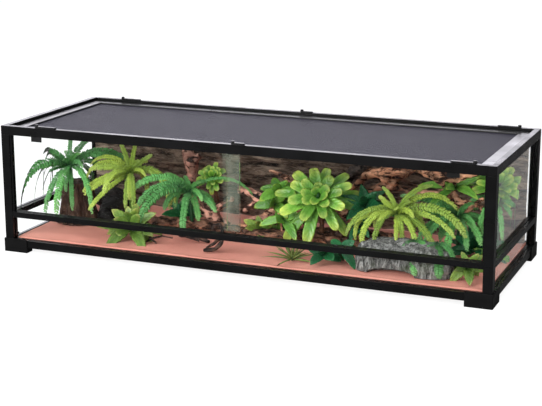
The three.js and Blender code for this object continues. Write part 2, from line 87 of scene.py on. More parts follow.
# %% World
def white_when_seen(tree):
    """1 for the rays of the camera, direct or through glass, and 0 for the others."""
    light_path = tree.nodes.new("ShaderNodeLightPath")
    larger = tree.nodes.new("ShaderNodeMath")
    larger.operation = "MAXIMUM"
    tree.links.new(light_path.outputs["Is Camera Ray"], larger.inputs[0])
    tree.links.new(light_path.outputs["Is Transmission Ray"], larger.inputs[1])
    return larger.outputs[0]


shed_light = 0.7  # the strength of the surround's light on the object
mirrored_light = 0.25  # and of its mirror image

world = bpy.data.worlds.new("studio")
world.use_nodes = True
bpy.context.scene.world = world
tree = world.node_tree
shed = tree.nodes["Background"]
shed.inputs["Color"].default_value = (1, 1, 1, 1)
calmer = tree.nodes.new("ShaderNodeMath")
calmer.operation = "MULTIPLY_ADD"
tree.links.new(tree.nodes.new("ShaderNodeLightPath").outputs["Is Glossy Ray"], calmer.inputs[0])
calmer.inputs[1].default_value = mirrored_light - shed_light
calmer.inputs[2].default_value = shed_light
tree.links.new(calmer.outputs[0], shed.inputs["Strength"])
seen = tree.nodes.new("ShaderNodeBackground")
seen.inputs["Color"].default_value = (1, 1, 1, 1)
seen.inputs["Strength"].default_value = 1.0
pick = tree.nodes.new("ShaderNodeMixShader")
tree.links.new(white_when_seen(tree), pick.inputs[0])
tree.links.new(shed.outputs[0], pick.inputs[1])
tree.links.new(seen.outputs[0], pick.inputs[2])
tree.links.new(pick.outputs[0], tree.nodes["World Output"].inputs["Surface"])
print("world set")


# %% Lamps
def softbox(name, place, aim, size, watts):
    lamp = bpy.data.lights.new(name, "AREA")
    lamp.shape = "RECTANGLE"
    lamp.size, lamp.size_y = size
    lamp.energy = watts
    holder = bpy.data.objects.new(name, lamp)
    holder.location = place
    holder.rotation_euler = (Vector(aim) - Vector(place)).to_track_quat("-Z", "Y").to_euler()
    holder.visible_camera = False
    holder.visible_transmission = False
    bpy.context.scene.collection.objects.link(holder)
    return holder


softbox("key", (-1.2, -3.2, 1.5), (0, 0, 0.12), (2.0, 1.4), 114)
fill = softbox("fill", (2.8, -1.8, 1.2), (0.1, 0, 0.12), (1.6, 1.4), 24)
fill.visible_glossy = False
rim = softbox("rim", (-2.3, 3.7, 1.3), (-0.5, 0, 0.31), (4.9, 1.9), 98)
rim.data.color = (0.94, 0.92, 1.0)
softbox("top", (0, -0.3, 2.6), (0, 0, 0.2), (2.2, 1.2), 38)


# %% [markdown]
# ## A small kit for finishes
# Each finish is one Principled shader with a few texture nodes round it. Patterns read Object coordinates,
# which are metres on the cabinet.


# %% Finish kit
def set_socket(node, socket, value):
    target = node.inputs[socket]
    if isinstance(value, bpy.types.NodeSocket):
        node.id_data.links.new(value, target)
    elif isinstance(value, (tuple, list)) and len(value) == 3 and target.type == "RGBA":
        target.default_value = (*value, 1)
    else:
        target.default_value = value


class Finish:
    def __init__(self, name, color, roughness=0.5, **fixed):
        self.material = bpy.data.materials.new(name)
        self.material.use_nodes = True
        self.tree = self.material.node_tree
        self.shader = self.tree.nodes["Principled BSDF"]
        self.set(Base_Color=color, Roughness=roughness, **fixed)
        self.here = self.tree.nodes.new("ShaderNodeTexCoord").outputs["Object"]

    def set(self, **sockets):
        for socket, value in sockets.items():
            set_socket(self.shader, socket.replace("_", " "), value)
        return self

    def node(self, kind, settings=(), **sockets):
        made = self.tree.nodes.new("ShaderNode" + kind)
        for key, value in dict(settings).items():
            setattr(made, key, value)
        for socket, value in sockets.items():
            set_socket(made, socket.replace("_", " "), value)
        return made

    def stretch(self, scale, turn=(0, 0, 0)):
        return self.node("Mapping", Vector=self.here, Scale=scale, Rotation=turn).outputs[0]

    def noise(self, scale, detail=4, rough=0.55, at=None, warp=0.0):
        made = self.node("TexNoise", Vector=at or self.here, Scale=scale, Detail=detail, Roughness=rough)
        made.inputs["Distortion"].default_value = warp
        return made.outputs[0]

    def cells(self, scale, feature="F1", at=None):
        made = self.node("TexVoronoi", {"feature": feature}, Vector=at or self.here, Scale=scale)
        return made.outputs["Distance"]

    def own(self, name):
        return self.node("Attribute", {"attribute_name": name}).outputs["Fac"]

    def split(self, vector):
        return self.node("SeparateXYZ", Vector=vector).outputs

    def ramp(self, value, *stops):
        made = self.node("ValToRGB", Fac=value)
        band = made.color_ramp
        while len(band.elements) < len(stops):
            band.elements.new(0.5)
        for element, (place, color) in zip(band.elements, stops):
            element.position = place
            element.color = (*color, 1) if isinstance(color, tuple) else (color, color, color, 1)
        return made.outputs[0]

    def mix(self, share, a, b, mode="MIX"):
        made = self.node("Mix", {"data_type": "RGBA", "blend_type": mode})
        for socket, value in ((0, share), (6, a), (7, b)):
            set_socket(made, socket, value)
        return made.outputs[2]

    def math(self, operation, a, b=0.5, c=0.5):
        made = self.node("Math", {"operation": operation})
        for socket, value in enumerate((a, b, c)):
            set_socket(made, socket, value)
        return made.outputs[0]

    def bump(self, height, distance, strength=1.0, under=None):
        made = self.node("Bump", Height=height, Strength=strength, Distance=distance)
        if under is not None:
            set_socket(made, "Normal", under)
        set_socket(self.shader, "Normal", made.outputs[0])
        return made.outputs[0]


print("finish kit ready")

# %% [markdown]
# ## The floor
# A wide pale sheet. What the camera sees of it is partly lit by the lamps, so that the cabinet's soft
# shadow stays, and partly a steady white. Its mirror image in glass and gloss is calmer, like that of the
# surround.

# %% Floor
floor_paint = Finish("floor_white", (0.86, 0.86, 0.86), 0.9)
glow = floor_paint.node("Emission", Color=(1, 1, 1), Strength=1.17)
steady = floor_paint.math("MULTIPLY", white_when_seen(floor_paint.tree), 0.75)
blend_in = floor_paint.node("MixShader", Fac=steady)
floor_paint.tree.links.new(floor_paint.shader.outputs[0], blend_in.inputs[1])
floor_paint.tree.links.new(glow.outputs[0], blend_in.inputs[2])
calm = floor_paint.node("Emission", Color=(1, 1, 1), Strength=0.1)
rays = floor_paint.node("LightPath").outputs
mirrored = floor_paint.math("SUBTRACT", rays["Is Glossy Ray"], rays["Is Transmission Ray"])
mirrored = floor_paint.math("MULTIPLY", floor_paint.math("MAXIMUM", mirrored, 0.0), 0.95)
blend_out = floor_paint.node("MixShader", Fac=mirrored)
floor_paint.tree.links.new(blend_in.outputs[0], blend_out.inputs[1])
floor_paint.tree.links.new(calm.outputs[0], blend_out.inputs[2])
floor_paint.tree.links.new(blend_out.outputs[0], floor_paint.tree.nodes["Material Output"].inputs["Surface"])
bpy.ops.mesh.primitive_plane_add(size=60, location=(0, 0, 0))
floor = bpy.context.object
floor.name = "studio_floor"
floor.data.materials.append(floor_paint.material)
print("floor", floor.dimensions)


# %% [markdown]
# ## The cabinet's own finishes
# The extruded rails are satin black with a very fine grain. The boots at the feet are moulded plastic, a
# little duller. The latches and the lid's strips have a soft sheen.


# %% Blacks
def black(name, level, roughness, grain, sheen=0.3):
    made = Finish(name, (level, level, level * 1.08), roughness, Specular_IOR_Level=sheen)
    streaks = made.noise(60, 3, 0.5, made.stretch((0.25, 0.25, 1)))
    made.set(Roughness=made.ramp(streaks, (0.3, roughness * 0.85), (0.75, roughness * 1.2)))
    worn = made.noise(9, 5, 0.6)
    tint = made.ramp(worn, (0.35, level * 0.8), (0.8, (level * 1.5, level * 1.5, level * 1.7)))
    made.set(Base_Color=tint)
    made.bump(made.noise(1400, 2), grain)
    return made.material


satin_black = black("satin_black", 0.004, 0.3, 0.00004, 0.15)
lid_paint = black("lid_paint", 0.02, 0.32, 0.00004, 0.6)
boot_plastic = black("boot_plastic", 0.004, 0.5, 0.00008, 0.12)
latch_paint = black("latch_paint", 0.008, 0.35, 0.00004, 0.3)
print("blacks ready")

# %% [markdown]
# Glass bends and mirrors light, which is slow to follow into the cabinet. For the rays that only carry
# light (shadow and diffuse rays) the pane is simply open, so the plants are lit as through real glass. Its
# index is low, so that it mirrors no more than the photo's panes do. Where the two doors overlap, dust
# between the panes gives an upright band of faint haze.

# %% Glass
glass = Finish("float_glass", (0.98, 0.99, 0.985), 0.0, Transmission_Weight=1.0, IOR=1.07)
smears = glass.noise(14, 4, 0.6, glass.stretch((1, 1, 0.6)))
glass.set(Roughness=glass.ramp(smears, (0.45, 0.0), (0.85, 0.03)))
overlap_middle = -0.0045
overlap_half = 0.0198
doors_in_front_of = -0.2
doors_above = 0.11
spot = glass.split(glass.here)
band = glass.math("COMPARE", spot["X"], overlap_middle, overlap_half)
band = glass.math("MULTIPLY", band, glass.math("LESS_THAN", spot["Y"], doors_in_front_of))
band = glass.math("MULTIPLY", band, glass.math("GREATER_THAN", spot["Z"], doors_above))
rays = glass.node("LightPath").outputs
carries = glass.math("MAXIMUM", rays["Is Shadow Ray"], rays["Is Diffuse Ray"])
open_air = glass.node("BsdfTransparent", Color=(0.96, 0.985, 0.975))
milk = glass.node("BsdfDiffuse", Color=(0.3, 0.34, 0.27))
streaks = glass.noise(60, 4, 0.6, glass.stretch((1, 1, 0.25)))
wiped = glass.ramp(streaks, (0.35, 0.02), (0.7, 0.11))
hazy = glass.node("MixShader", Fac=glass.math("MULTIPLY", band, wiped))
glass.tree.links.new(glass.shader.outputs[0], hazy.inputs[1])
glass.tree.links.new(milk.outputs[0], hazy.inputs[2])
either = glass.node("MixShader", Fac=carries)
glass.tree.links.new(hazy.outputs[0], either.inputs[1])
glass.tree.links.new(open_air.outputs[0], either.inputs[2])
glass.tree.links.new(either.outputs[0], glass.tree.nodes["Material Output"].inputs["Surface"])
print("glass ready")


# %% [markdown]
# ## Softened metal
# A real rail has no razor edges. Each CAD node of the frame, lid, latches and panes is copied, its loose
# triangles are merged into clean faces, and a bevel of about half a millimetre rounds its edges so that
# they catch the light. The copy replaces its node and moves with the same body.


# %% Softening helper
def only(piece):
    """Selects one object and makes it active."""
    bpy.ops.object.select_all(action="DESELECT")
    piece.select_set(True)
    bpy.context.view_layer.objects.active = piece
    return piece


def apply_modifier(piece, kind, **settings):
    only(piece)
    modifier = piece.modifiers.new(kind.lower(), kind)
    for key, value in settings.items():
        setattr(modifier, key, value)
    bpy.ops.object.modifier_apply(modifier=modifier.name)
    return piece


def smooth(piece, degrees=35):
    only(piece)
    bpy.ops.object.shade_smooth_by_angle(angle=math.radians(degrees))
    return piece


def cleaned_copy(node, name):
    source = nodes[node]
    piece = bpy.data.objects.new(name, source.data.copy())
    bpy.context.scene.collection.objects.link(piece)
    piece.data.materials.clear()
    only(piece)
    bpy.ops.object.mode_set(mode="EDIT")
    bpy.ops.mesh.select_all(action="SELECT")
    bpy.ops.mesh.remove_doubles(threshold=0.00002)
    bpy.ops.mesh.dissolve_limited(angle_limit=math.radians(1))
    bpy.ops.object.mode_set(mode="OBJECT")
    return piece


def soften(node, prefix, material, width=0.0006):
    piece = cleaned_copy(node, f"{prefix}.{node}")
    apply_modifier(piece, "BEVEL", width=width, segments=2, limit_method="ANGLE",
                   angle_limit=math.radians(40))
    if material is not glass.material:
        smooth(piece)
        apply_modifier(piece, "WEIGHTED_NORMAL", keep_sharp=True)
    piece.data.materials.append(material)
    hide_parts(node)
    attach(piece, body_of[node])
    return piece


def named(*starts):
    return [node for node in nodes if node.startswith(starts)]


# %% Rails, posts, boots, lid and latches
for node in named("bottom_rail", "mid_rail", "top_rail", "post_", "corner_cap", "door_jamb"):
    soften(node, "metal", satin_black)
for node in named("lid_strip", "lid_corner"):
    soften(node, "painted", lid_paint)
for node in named("foot_"):
    soften(node, "moulded", boot_plastic, 0.001)
for node in named("latch_", "door_grip"):
    soften(node, "painted", latch_paint, 0.0005)
for node in named("floor_pane", "back_pane", "front_lower_pane", "left_", "right_", "door_left",
                  "door_right"):
    soften(node, "glass", glass.material, 0.0004)

# %% [markdown]
# ## The lid's screen
# The lid holds a woven screen. At this fineness the weave's over and under can't be seen, but light must
# pass between its wires. So one wire is made from a cube, and copies of it are laid in two crossing layers.

# %% Screen
screen_low, screen_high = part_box("lid_screen")
wire_pitch = 0.0019
wire_width = 0.0007
wire_height = 0.0004
screen_middle = (screen_low + screen_high) / 2
wire_black = Finish("screen_wire", (0.035, 0.035, 0.05), 0.5, Specular_IOR_Level=0.3)
wire_tone = wire_black.ramp(wire_black.noise(30), (0.3, (0.02, 0.019, 0.032)), (0.8, (0.028, 0.026, 0.043)))
wire_black.set(Base_Color=wire_tone)
wire_black.bump(wire_black.noise(900), 0.00005)


def wires(name, along, layer):
    """Straight wires that run along one axis (0 is X, 1 is Y), all in one layer."""
    across = 1 - along
    span = screen_high - screen_low
    count = int(span[across] / wire_pitch)
    bpy.ops.mesh.primitive_cube_add(size=1)
    piece = bpy.context.object
    piece.name = name
    size = [0, 0, wire_height]
    size[along] = span[along]
    size[across] = wire_width
    place = list(screen_middle)
    place[across] = screen_low[across] + (span[across] - (count - 1) * wire_pitch) / 2
    place[2] += layer * wire_height / 2
    piece.data.transform(Matrix.Translation(place) @ Matrix.Diagonal((*size, 1)))
    step = [0, 0, 0]
    step[across] = wire_pitch
    apply_modifier(piece, "ARRAY", count=count, use_relative_offset=False, use_constant_offset=True,
                   constant_offset_displace=step)
    return piece


screen_parts = [wires("screen_long_wires", 0, 1), wires("screen_cross_wires", 1, -1)]
only(screen_parts[0])
screen_parts[1].select_set(True)
bpy.ops.object.join()
screen = bpy.context.object
screen.name = "woven_screen"
screen.data.materials.append(wire_black.material)
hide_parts("lid_screen")
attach(screen, "lid")
print("screen triangles:", 2 * len(screen.data.polygons))

# %% [markdown]
# ## The sand
# A layer of fine salmon-pink sand in shallow dunes. A cube of the bed's size gets its top cut into small
# faces, which are pushed down by soft noise. The grain is too fine to model, so it is left to bump and
# colour.

# %% Sand
sand = Finish("desert_sand", (0.78, 0.36, 0.27), 0.92, Specular_IOR_Level=0.2)
drift = sand.ramp(sand.noise(7, 3, 0.5), (0.3, (0.76, 0.235, 0.18)), (0.7, (0.95, 0.36, 0.28)))
grain_colour = sand.ramp(sand.cells(900), (0.0, (0.55, 0.15, 0.1)), (0.45, (0.98, 0.5, 0.42)))
sand.set(Base_Color=sand.mix(0.35, drift, grain_colour))
grains = sand.bump(sand.cells(800), 0.0006, 0.6)
sand.bump(sand.noise(90, 4), 0.001, 0.4, under=grains)


def boxed(name, low, high):
    """A cube primitive that fills the box between two corners, its place held in its mesh."""
    bpy.ops.mesh.primitive_cube_add(size=1)
    piece = bpy.context.object
    piece.name = name
    low, high = Vector(low), Vector(high)
    piece.data.transform(Matrix.Translation((low + high) / 2) @ Matrix.Diagonal((*(high - low), 1)))
    return piece


def cut(piece, count, axis, low, high):
    """Cuts a piece across one axis into equal slices with the bisect tool."""
    normal = [0, 0, 0]
    normal[axis] = 1
    only(piece)
    bpy.ops.object.mode_set(mode="EDIT")
    for i in range(1, count):
        point = [0, 0, 0]
        point[axis] = low + (high - low) * i / count
        bpy.ops.mesh.select_all(action="SELECT")
        bpy.ops.mesh.bisect(plane_co=point, plane_no=normal)
    bpy.ops.object.mode_set(mode="OBJECT")
    return piece


def moved(piece, rule):
    """Moves each vertex by a rule that gets its place and gives a new one."""
    for vertex in piece.data.vertices:
        vertex.co = rule(vertex.co.copy())
    return piece


bed_low, bed_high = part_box("sand_bed")
sand_bed = boxed("raked_sand", bed_low, bed_high)
cut(sand_bed, 150, 0, bed_low.x, bed_high.x)
cut(sand_bed, 52, 1, bed_low.y, bed_high.y)


dune_level = 0.0018  # how far the sand lies under its box's top, on the whole
dune_height = 0.0016  # how far a dune rises or a dip falls from that level
dunes_per_metre = 9
ripples_per_metre = 42


def raked(point):
    if point.z < bed_high.z - 0.0001:
        return point
    soft = noise.fractal(point * dunes_per_metre, 1.0, 2.0, 3) + 0.5 * noise.noise(point * ripples_per_metre)
    point.z -= dune_level + dune_height * max(-1, min(1, soft))
    return point


moved(sand_bed, raked)
smooth(sand_bed, 40)
sand_bed.data.materials.append(sand.material)
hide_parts("sand_bed")
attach(sand_bed, "root")
print("sand vertices:", len(sand_bed.data.vertices))

# %% [markdown]
# ## The bark background
# A moulded sheet that looks like stacked bark: long, uneven, nearly level plates with dark gaps. The grid
# primitive is shaped by layered noise that is stretched along the sheet, then given its thickness.

# %% Bark background
bark = Finish("bark", (0.05, 0.032, 0.023), 0.85, Specular_IOR_Level=0.25)
level_grain = bark.noise(22, 8, 0.68, bark.stretch((0.35, 0.6, 2.0)), 0.8)
plates = bark.noise(70, 6, 0.7, bark.stretch((0.4, 1, 1.5)), 0.6)
bark_tone = bark.ramp(level_grain, (0.4, (0.008, 0.005, 0.004)), (0.48, (0.08, 0.055, 0.042)),
                      (0.55, (0.22, 0.155, 0.115)), (0.64, (0.55, 0.42, 0.32)))
bark_crust = bark.ramp(plates, (0.44, (0.015, 0.01, 0.008)), (0.58, (0.42, 0.31, 0.235)))
bark.set(Base_Color=bark.mix(0.45, bark_tone, bark_crust))
rough_bark = bark.bump(level_grain, 0.012, 1.0)
bark.bump(bark.noise(420, 4), 0.0008, 0.6, under=rough_bark)

right_pane_inside = 0.5865
sheet_low, sheet_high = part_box("bark_backdrop")
sheet_high.x = max(sheet_high.x, right_pane_inside)
sheet_size = sheet_high - sheet_low
bpy.ops.mesh.primitive_grid_add(x_subdivisions=260, y_subdivisions=64, size=1)
background = bpy.context.object
background.name = "bark_background"
sheet_place = ((sheet_low.x + sheet_high.x) / 2, sheet_high.y - 0.006, (sheet_low.z + sheet_high.z) / 2)
background.data.transform(Matrix.Translation(sheet_place) @ Matrix.Rotation(math.radians(90), 4, "X")
                          @ Matrix.Diagonal((sheet_size.x, sheet_size.z, 1, 1)))


bark_level = 0.0045
wave_height = 0.0035
plate_height = 0.006
relief_limit = 0.0095


def layered(point):
    """Brings the sheet's face forward by long waves and by plates that are narrow and nearly level."""
    wave = noise.fractal(Vector((point.x * 4, 0, point.z * 15)), 0.9, 2.1, 5)
    plate = abs(noise.noise(Vector((point.x * 7 + wave, 3, point.z * 34))))
    relief = bark_level + wave_height * wave + plate_height * plate
    point.y -= max(0.0, min(relief_limit, relief))
    return point


moved(background, layered)
apply_modifier(background, "SOLIDIFY", thickness=0.0055, offset=1)
smooth(background, 50)
background.data.materials.append(bark.material)
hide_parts("bark_backdrop")
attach(background, "root")
print("bark size:", [round(v, 3) for v in background.dimensions])

# %% [markdown]
# ## The stump
# At the left a short cork stump carries a fern. It is a cylinder cut into many rings, whose wall is folded
# into deep upright ribs, wider at the foot.

# %% Stump
stump_bark = Finish("stump_bark", (0.09, 0.05, 0.035), 0.9, Specular_IOR_Level=0.2)
furrows = stump_bark.noise(40, 6, 0.65, stump_bark.stretch((1.6, 1.6, 0.45)), 0.8)
stump_bark.set(Base_Color=stump_bark.ramp(furrows, (0.3, (0.012, 0.008, 0.007)), (0.5, (0.06, 0.033, 0.025)),
                                          (0.68, (0.16, 0.092, 0.062)), (0.82, (0.25, 0.17, 0.125))))
furrow_bump = stump_bark.bump(furrows, 0.005, 0.9)
stump_bark.bump(stump_bark.noise(300, 4), 0.001, 0.5, under=furrow_bump)

log_low, log_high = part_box("cork_log")
log_middle = (log_low + log_high) / 2
log_size = log_high - log_low
bpy.ops.mesh.primitive_cylinder_add(vertices=96, radius=0.5, depth=1, end_fill_type="TRIFAN")
stump = bpy.context.object
stump.name = "cork_stump"
cut(stump, 40, 2, -0.5, 0.5)


stump_taper = 0.3  # share of the width that is lost from foot to top
foot_flare = 0.12  # share of the width that the foot gains


def ribbed(point):
    """Folds the cylinder's wall into ribs and crags, and fits it to the log's box."""
    height = point.z + 0.5
    around = math.atan2(point.y, point.x)
    out = math.hypot(point.x, point.y) * 2
    rib = noise.noise(Vector((3.2 * math.cos(around), 3.2 * math.sin(around), height * 1.6)))
    crag = noise.fractal(Vector((9 * math.cos(around), 9 * math.sin(around), height * 3)), 0.8, 2.0, 4)
    wide = 0.98 - stump_taper * height + foot_flare * math.exp(-7 * height)
    wide = min(1.0, wide * (0.86 + 0.2 * rib + 0.08 * crag))
    if out < 0.1 and height > 0.99:
        height -= 0.05
    return Vector((log_middle.x + math.cos(around) * out * wide * log_size.x / 2,
                   log_middle.y + math.sin(around) * out * wide * log_size.y / 2,
                   log_low.z + height * log_size.z * (0.97 + 0.03 * crag if height > 0.9 else 1)))


moved(stump, ribbed)
for vertex in stump.data.vertices:
    vertex.co.z = min(vertex.co.z, log_high.z)
smooth(stump, 60)
stump.data.materials.append(stump_bark.material)
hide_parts("cork_log")
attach(stump, "root")
print("stump vertices:", len(stump.data.vertices))

# %% [markdown]
# ## The driftwood
# A washed-out root with limbs that swell and pinch, and worm holes and cracks whose dark is painted shade.
# A chain of edges gives each limb's run and the Skin modifier wraps it with a body as thick as each point
# says. Subdivision rounds it and noise wears it.

# %% Driftwood
def wood_finish(name, dark, middle, pale, holes):
    made = Finish(name, middle, 0.62, Specular_IOR_Level=0.3)
    fibre = made.noise(30, 6, 0.6, made.stretch((1, 1.2, 1.5)), 1.2)
    tone = made.ramp(fibre, (0.28, dark), (0.5, middle), (0.74, pale))
    # Worm holes and cracks are dark in the colour: painted shade inside them. The same masks give them depth
    # in the bump.
    pore_shade_and_depth = made.ramp(made.cells(holes, at=made.stretch((1, 1, 1.3))), (0.12, 0.0), (0.2, 1.0))
    patchy = made.ramp(made.noise(18, 2), (0.5, 1.0), (0.56, 0.0))
    torn = made.noise(26, 7, 0.7, made.stretch((0.8, 1.2, 1.6)), 1.6)
    crack_shade_and_depth = made.ramp(torn, (0.43, (0.05, 0.03, 0.02)), (0.5, 1.0))
    pore_and_crack_shade_and_depth = made.mix(1.0, made.mix(1.0, pore_shade_and_depth, patchy, "ADD"), crack_shade_and_depth, "MULTIPLY")
    made.set(Base_Color=made.mix(1.0, tone, pore_and_crack_shade_and_depth, "MULTIPLY"))
    under = made.bump(pore_and_crack_shade_and_depth, 0.002, 0.8)
    made.bump(fibre, 0.0016, 0.7, under=under)
    return made.material


driftwood_finish = wood_finish("washed_driftwood", (0.1, 0.045, 0.03), (0.36, 0.18, 0.115),
                               (0.55, 0.33, 0.22), 75)


limb_flatness = 0.82
sand_top = 0.0366  # wood is cut off here, just under the sand's dunes


def grown(name, limbs, levels=2, wear=0.004, grain=0.03, seed=0):
    """Wood from limbs: lists of (x, y, z, radius) in millimetres. A limb may start on another."""
    mesh = bpy.data.meshes.new(name)
    points, edges, radii = [], [], []
    for limb in limbs:
        before = None
        for x, y, z, radius in limb:
            place = (x / 1000, y / 1000, z / 1000)
            if place in points:
                here = points.index(place)
            else:
                here = len(points)
                points.append(place)
                radii.append(radius / 1000)
            if before is not None:
                edges.append((before, here))
            before = here
    mesh.from_pydata(points, edges, [])
    piece = bpy.data.objects.new(name, mesh)
    bpy.context.scene.collection.objects.link(piece)
    only(piece)
    modifier = piece.modifiers.new("skin", "SKIN")
    for vertex, radius in zip(mesh.skin_vertices[0].data, radii):
        vertex.radius = (radius, radius * limb_flatness)
    mesh.skin_vertices[0].data[0].use_root = True
    bpy.ops.object.modifier_apply(modifier=modifier.name)
    apply_modifier(piece, "SUBSURF", levels=levels, render_levels=levels)
    for vertex in piece.data.vertices:
        near = vertex.co / grain
        push = noise.fractal(near + Vector((seed, 0, 0)), 0.9, 2.0, 4)
        vertex.co += vertex.normal * wear * push
        vertex.co.z = max(vertex.co.z, sand_top)
    smooth(piece, 70)
    return piece


root_wood = grown("driftwood_root", [
    [(-95, 88, 40, 13), (-58, 100, 62, 15), (0, 112, 98, 16), (58, 122, 112, 17), (130, 132, 96, 15),
     (210, 128, 40, 14)],
    [(58, 122, 112, 17), (28, 118, 148, 10), (-26, 122, 172, 8), (-52, 124, 178, 5)],
    [(130, 132, 96, 15), (190, 138, 139, 12), (260, 142, 168, 12), (330, 138, 213, 10), (368, 134, 240, 6)],
    [(260, 142, 168, 12), (330, 140, 149, 10), (390, 132, 158, 9), (446, 124, 196, 5)],
], wear=0.0045, seed=3)
root_wood.data.materials.append(driftwood_finish)
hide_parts("driftwood")
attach(root_wood, "root")
print("driftwood triangles:", 2 * len(root_wood.data.polygons))

# %% [markdown]
# ## The rock hide
# A low grey rock with a cave under it. A sphere is squared up, pressed flat below and furrowed by steep
# chisel-like streaks. Its front is pushed in to make a den for the animal.

# %% Rock hide
stone = Finish("grey_stone", (0.16, 0.155, 0.15), 0.85, Specular_IOR_Level=0.3)
chips = stone.noise(75, 7, 0.75, stone.stretch((1.4, 1.4, 0.45), (0.15, 0.35, 0)), 0.7)
stone_tone = stone.ramp(chips, (0.38, 0.02), (0.5, (0.15, 0.145, 0.14)), (0.62, (0.42, 0.41, 0.4)))
moss = stone.ramp(stone.noise(14, 5), (0.55, 0.0), (0.7, 1.0))
stone.set(Base_Color=stone.mix(stone.math("MULTIPLY", moss, 0.35), stone_tone, (0.12, 0.15, 0.06)))
chip_bump = stone.bump(chips, 0.005, 1.0)
stone.bump(stone.noise(380, 4), 0.001, 0.6, under=chip_bump)

rock_low, rock_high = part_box("rock_hide")
rock_middle = (rock_low + rock_high) / 2
rock_half = (rock_high - rock_low) / 2
bpy.ops.mesh.primitive_ico_sphere_add(subdivisions=6, radius=1)
rock = bpy.context.object
rock.name = "rock_den"


squareness = 3.4  # 2 leaves the sphere round, and more brings it near to a box
cave_half_width = 0.055
cave_height = 0.014
cave_depth = 0.04
cave_left_of_middle = 0.02


def chiselled(point):
    """Squares the sphere up to fill its box, then wears it, and pushes a cave into its front."""
    power = sum(abs(v) ** squareness for v in point) ** (-1 / squareness)
    lump = noise.fractal(point * 1.6 + Vector((7, 0, 0)), 0.9, 2.0, 3)
    streak = noise.fractal(Vector((point.x * 9 + point.z * 2.5, point.y * 9, point.z * 1.3)), 0.8, 2.1, 4)
    point = point * power * (0.93 + 0.07 * max(-1, min(1, lump)) + 0.04 * streak)
    place = Vector((rock_middle.x + point.x * rock_half.x, rock_middle.y + point.y * rock_half.y,
                    rock_low.z + max(0.0, point.z + 0.25) * 1.6 * rock_half.z))
    beside = (place.x - rock_middle.x + cave_left_of_middle) / cave_half_width
    off = math.hypot(beside, (place.z - rock_low.z) / cave_height)
    if place.y < rock_middle.y and off < 1:
        place.y += cave_depth * math.sqrt(1 - off * off)
    return Vector(max(a, min(b, c)) for a, b, c in zip(rock_low, place, rock_high))


moved(rock, chiselled)
smooth(rock, 50)
rock.data.materials.append(stone.material)
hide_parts("rock_hide")
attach(rock, "root")
print("rock triangles:", len(rock.data.polygons))

# %% [markdown]
# ## A kit for growing plants
# Every leaf starts as a sphere primitive that is pressed flat: its poles become the foot and the tip, and
# its rings are widened one by one to the outline. A Simple Deform modifier then arches each copy. Three
# values are kept on the mesh for the finish to read: how far along the leaf, how far across, and a tint of
# its own.

# %% Leaf kit
def write_value(piece, name, values):
    layer = piece.data.attributes.get(name) or piece.data.attributes.new(name, "FLOAT", "POINT")
    layer.data.foreach_set("value", np.asarray(values, dtype=np.float32))


def leaf(length, width, thickness, rings, segments, outline, channel=0.0, ruffle=0.0, waves=5):
    """A closed leaf that stands on the origin, its width along Y, its upper face towards -X. Millimetres."""
    bpy.ops.mesh.primitive_uv_sphere_add(segments=segments, ring_count=rings, radius=1)
    piece = bpy.context.object
    along, across = [], []
    for vertex in piece.data.vertices:
        t = math.acos(max(-1, min(1, -vertex.co.z))) / math.pi
        ring = max(1e-6, math.hypot(vertex.co.x, vertex.co.y))
        side, up = vertex.co.y / ring, vertex.co.x / ring
        if t < 1e-3 or t > 1 - 1e-3:
            side = up = 0
        half = width / 2 * np.interp(t, *zip(*outline))
        lift = channel * half * side * side + ruffle * abs(side) ** 2 * math.sin(waves * 2 * math.pi * t)
        body = thickness / 2 * (1 - 0.6 * t)
        vertex.co = Vector((up * body - lift, side * half, t * length)) / 1000
        along.append(t)
        across.append(side)
    write_value(piece, "along", along)
    write_value(piece, "across", across)
    return piece


def as_pattern(piece):
    """An object's mesh as arrays, of which many copies can be gathered at once. The object is removed."""
    mesh = piece.data
    points = np.empty(len(mesh.vertices) * 3)
    mesh.vertices.foreach_get("co", points)
    values = {}
    for name in ("along", "across"):
        values[name] = np.empty(len(mesh.vertices))
        mesh.attributes[name].data.foreach_get("value", values[name])
    faces = [tuple(face.vertices) for face in mesh.polygons]
    bpy.data.objects.remove(piece)
    return points.reshape(-1, 3), faces, values


def gathered(name, copies):
    """One mesh out of many: each copy is (pattern, matrix, values that are the same all over it)."""
    points, faces, values, start = [], [], {"along": [], "across": [], "tint": []}, 0
    for (places, its_faces, its_values), matrix, fixed in copies:
        turn = np.array(matrix)
        points.append(places @ turn[:3, :3].T + turn[:3, 3])
        faces.extend(tuple(i + start for i in face) for face in its_faces)
        for key, row in values.items():
            row.append(np.full(len(places), fixed[key]) if key in fixed else its_values[key])
        start += len(places)
    mesh = bpy.data.meshes.new(name)
    mesh.from_pydata(np.concatenate(points).tolist(), [], faces)
    piece = bpy.data.objects.new(name, mesh)
    bpy.context.scene.collection.objects.link(piece)
    for key, row in values.items():
        write_value(piece, key, np.concatenate(row))
    mesh.polygons.foreach_set("use_smooth", [True] * len(mesh.polygons))
    return piece


def arched(source, length, droop, twist=0.0, width=1.0, roll=0.0):
    """A copy of a standing leaf or frond, stretched, rolled about its own axis and bent over towards +X."""
    piece = bpy.data.objects.new("arched", source.data.copy())
    bpy.context.scene.collection.objects.link(piece)
    piece.data.transform(Matrix.Rotation(roll, 4, "Z") @ Matrix.Diagonal((width, width, length, 1)))
    if twist:
        apply_modifier(piece, "SIMPLE_DEFORM", deform_method="TWIST", deform_axis="Z", angle=twist)
    apply_modifier(piece, "SIMPLE_DEFORM", deform_method="BEND", deform_axis="Y", angle=droop)
    return as_pattern(piece)


def set_at(place, heading, rise):
    """The matrix that plants a leaf at a place, leaning out along its heading."""
    return (Matrix.Translation(Vector(place) / 1000) @ Matrix.Rotation(heading, 4, "Z")
            @ Matrix.Rotation(math.pi / 2 - rise, 4, "Y"))


print("leaf kit ready")

# %% [markdown]
# ## Plant finishes
# Leaves are a little waxy. Their colour runs from a deep green at the crown to a fresher green or yellow at
# the tips, and each leaf differs a little from the next.


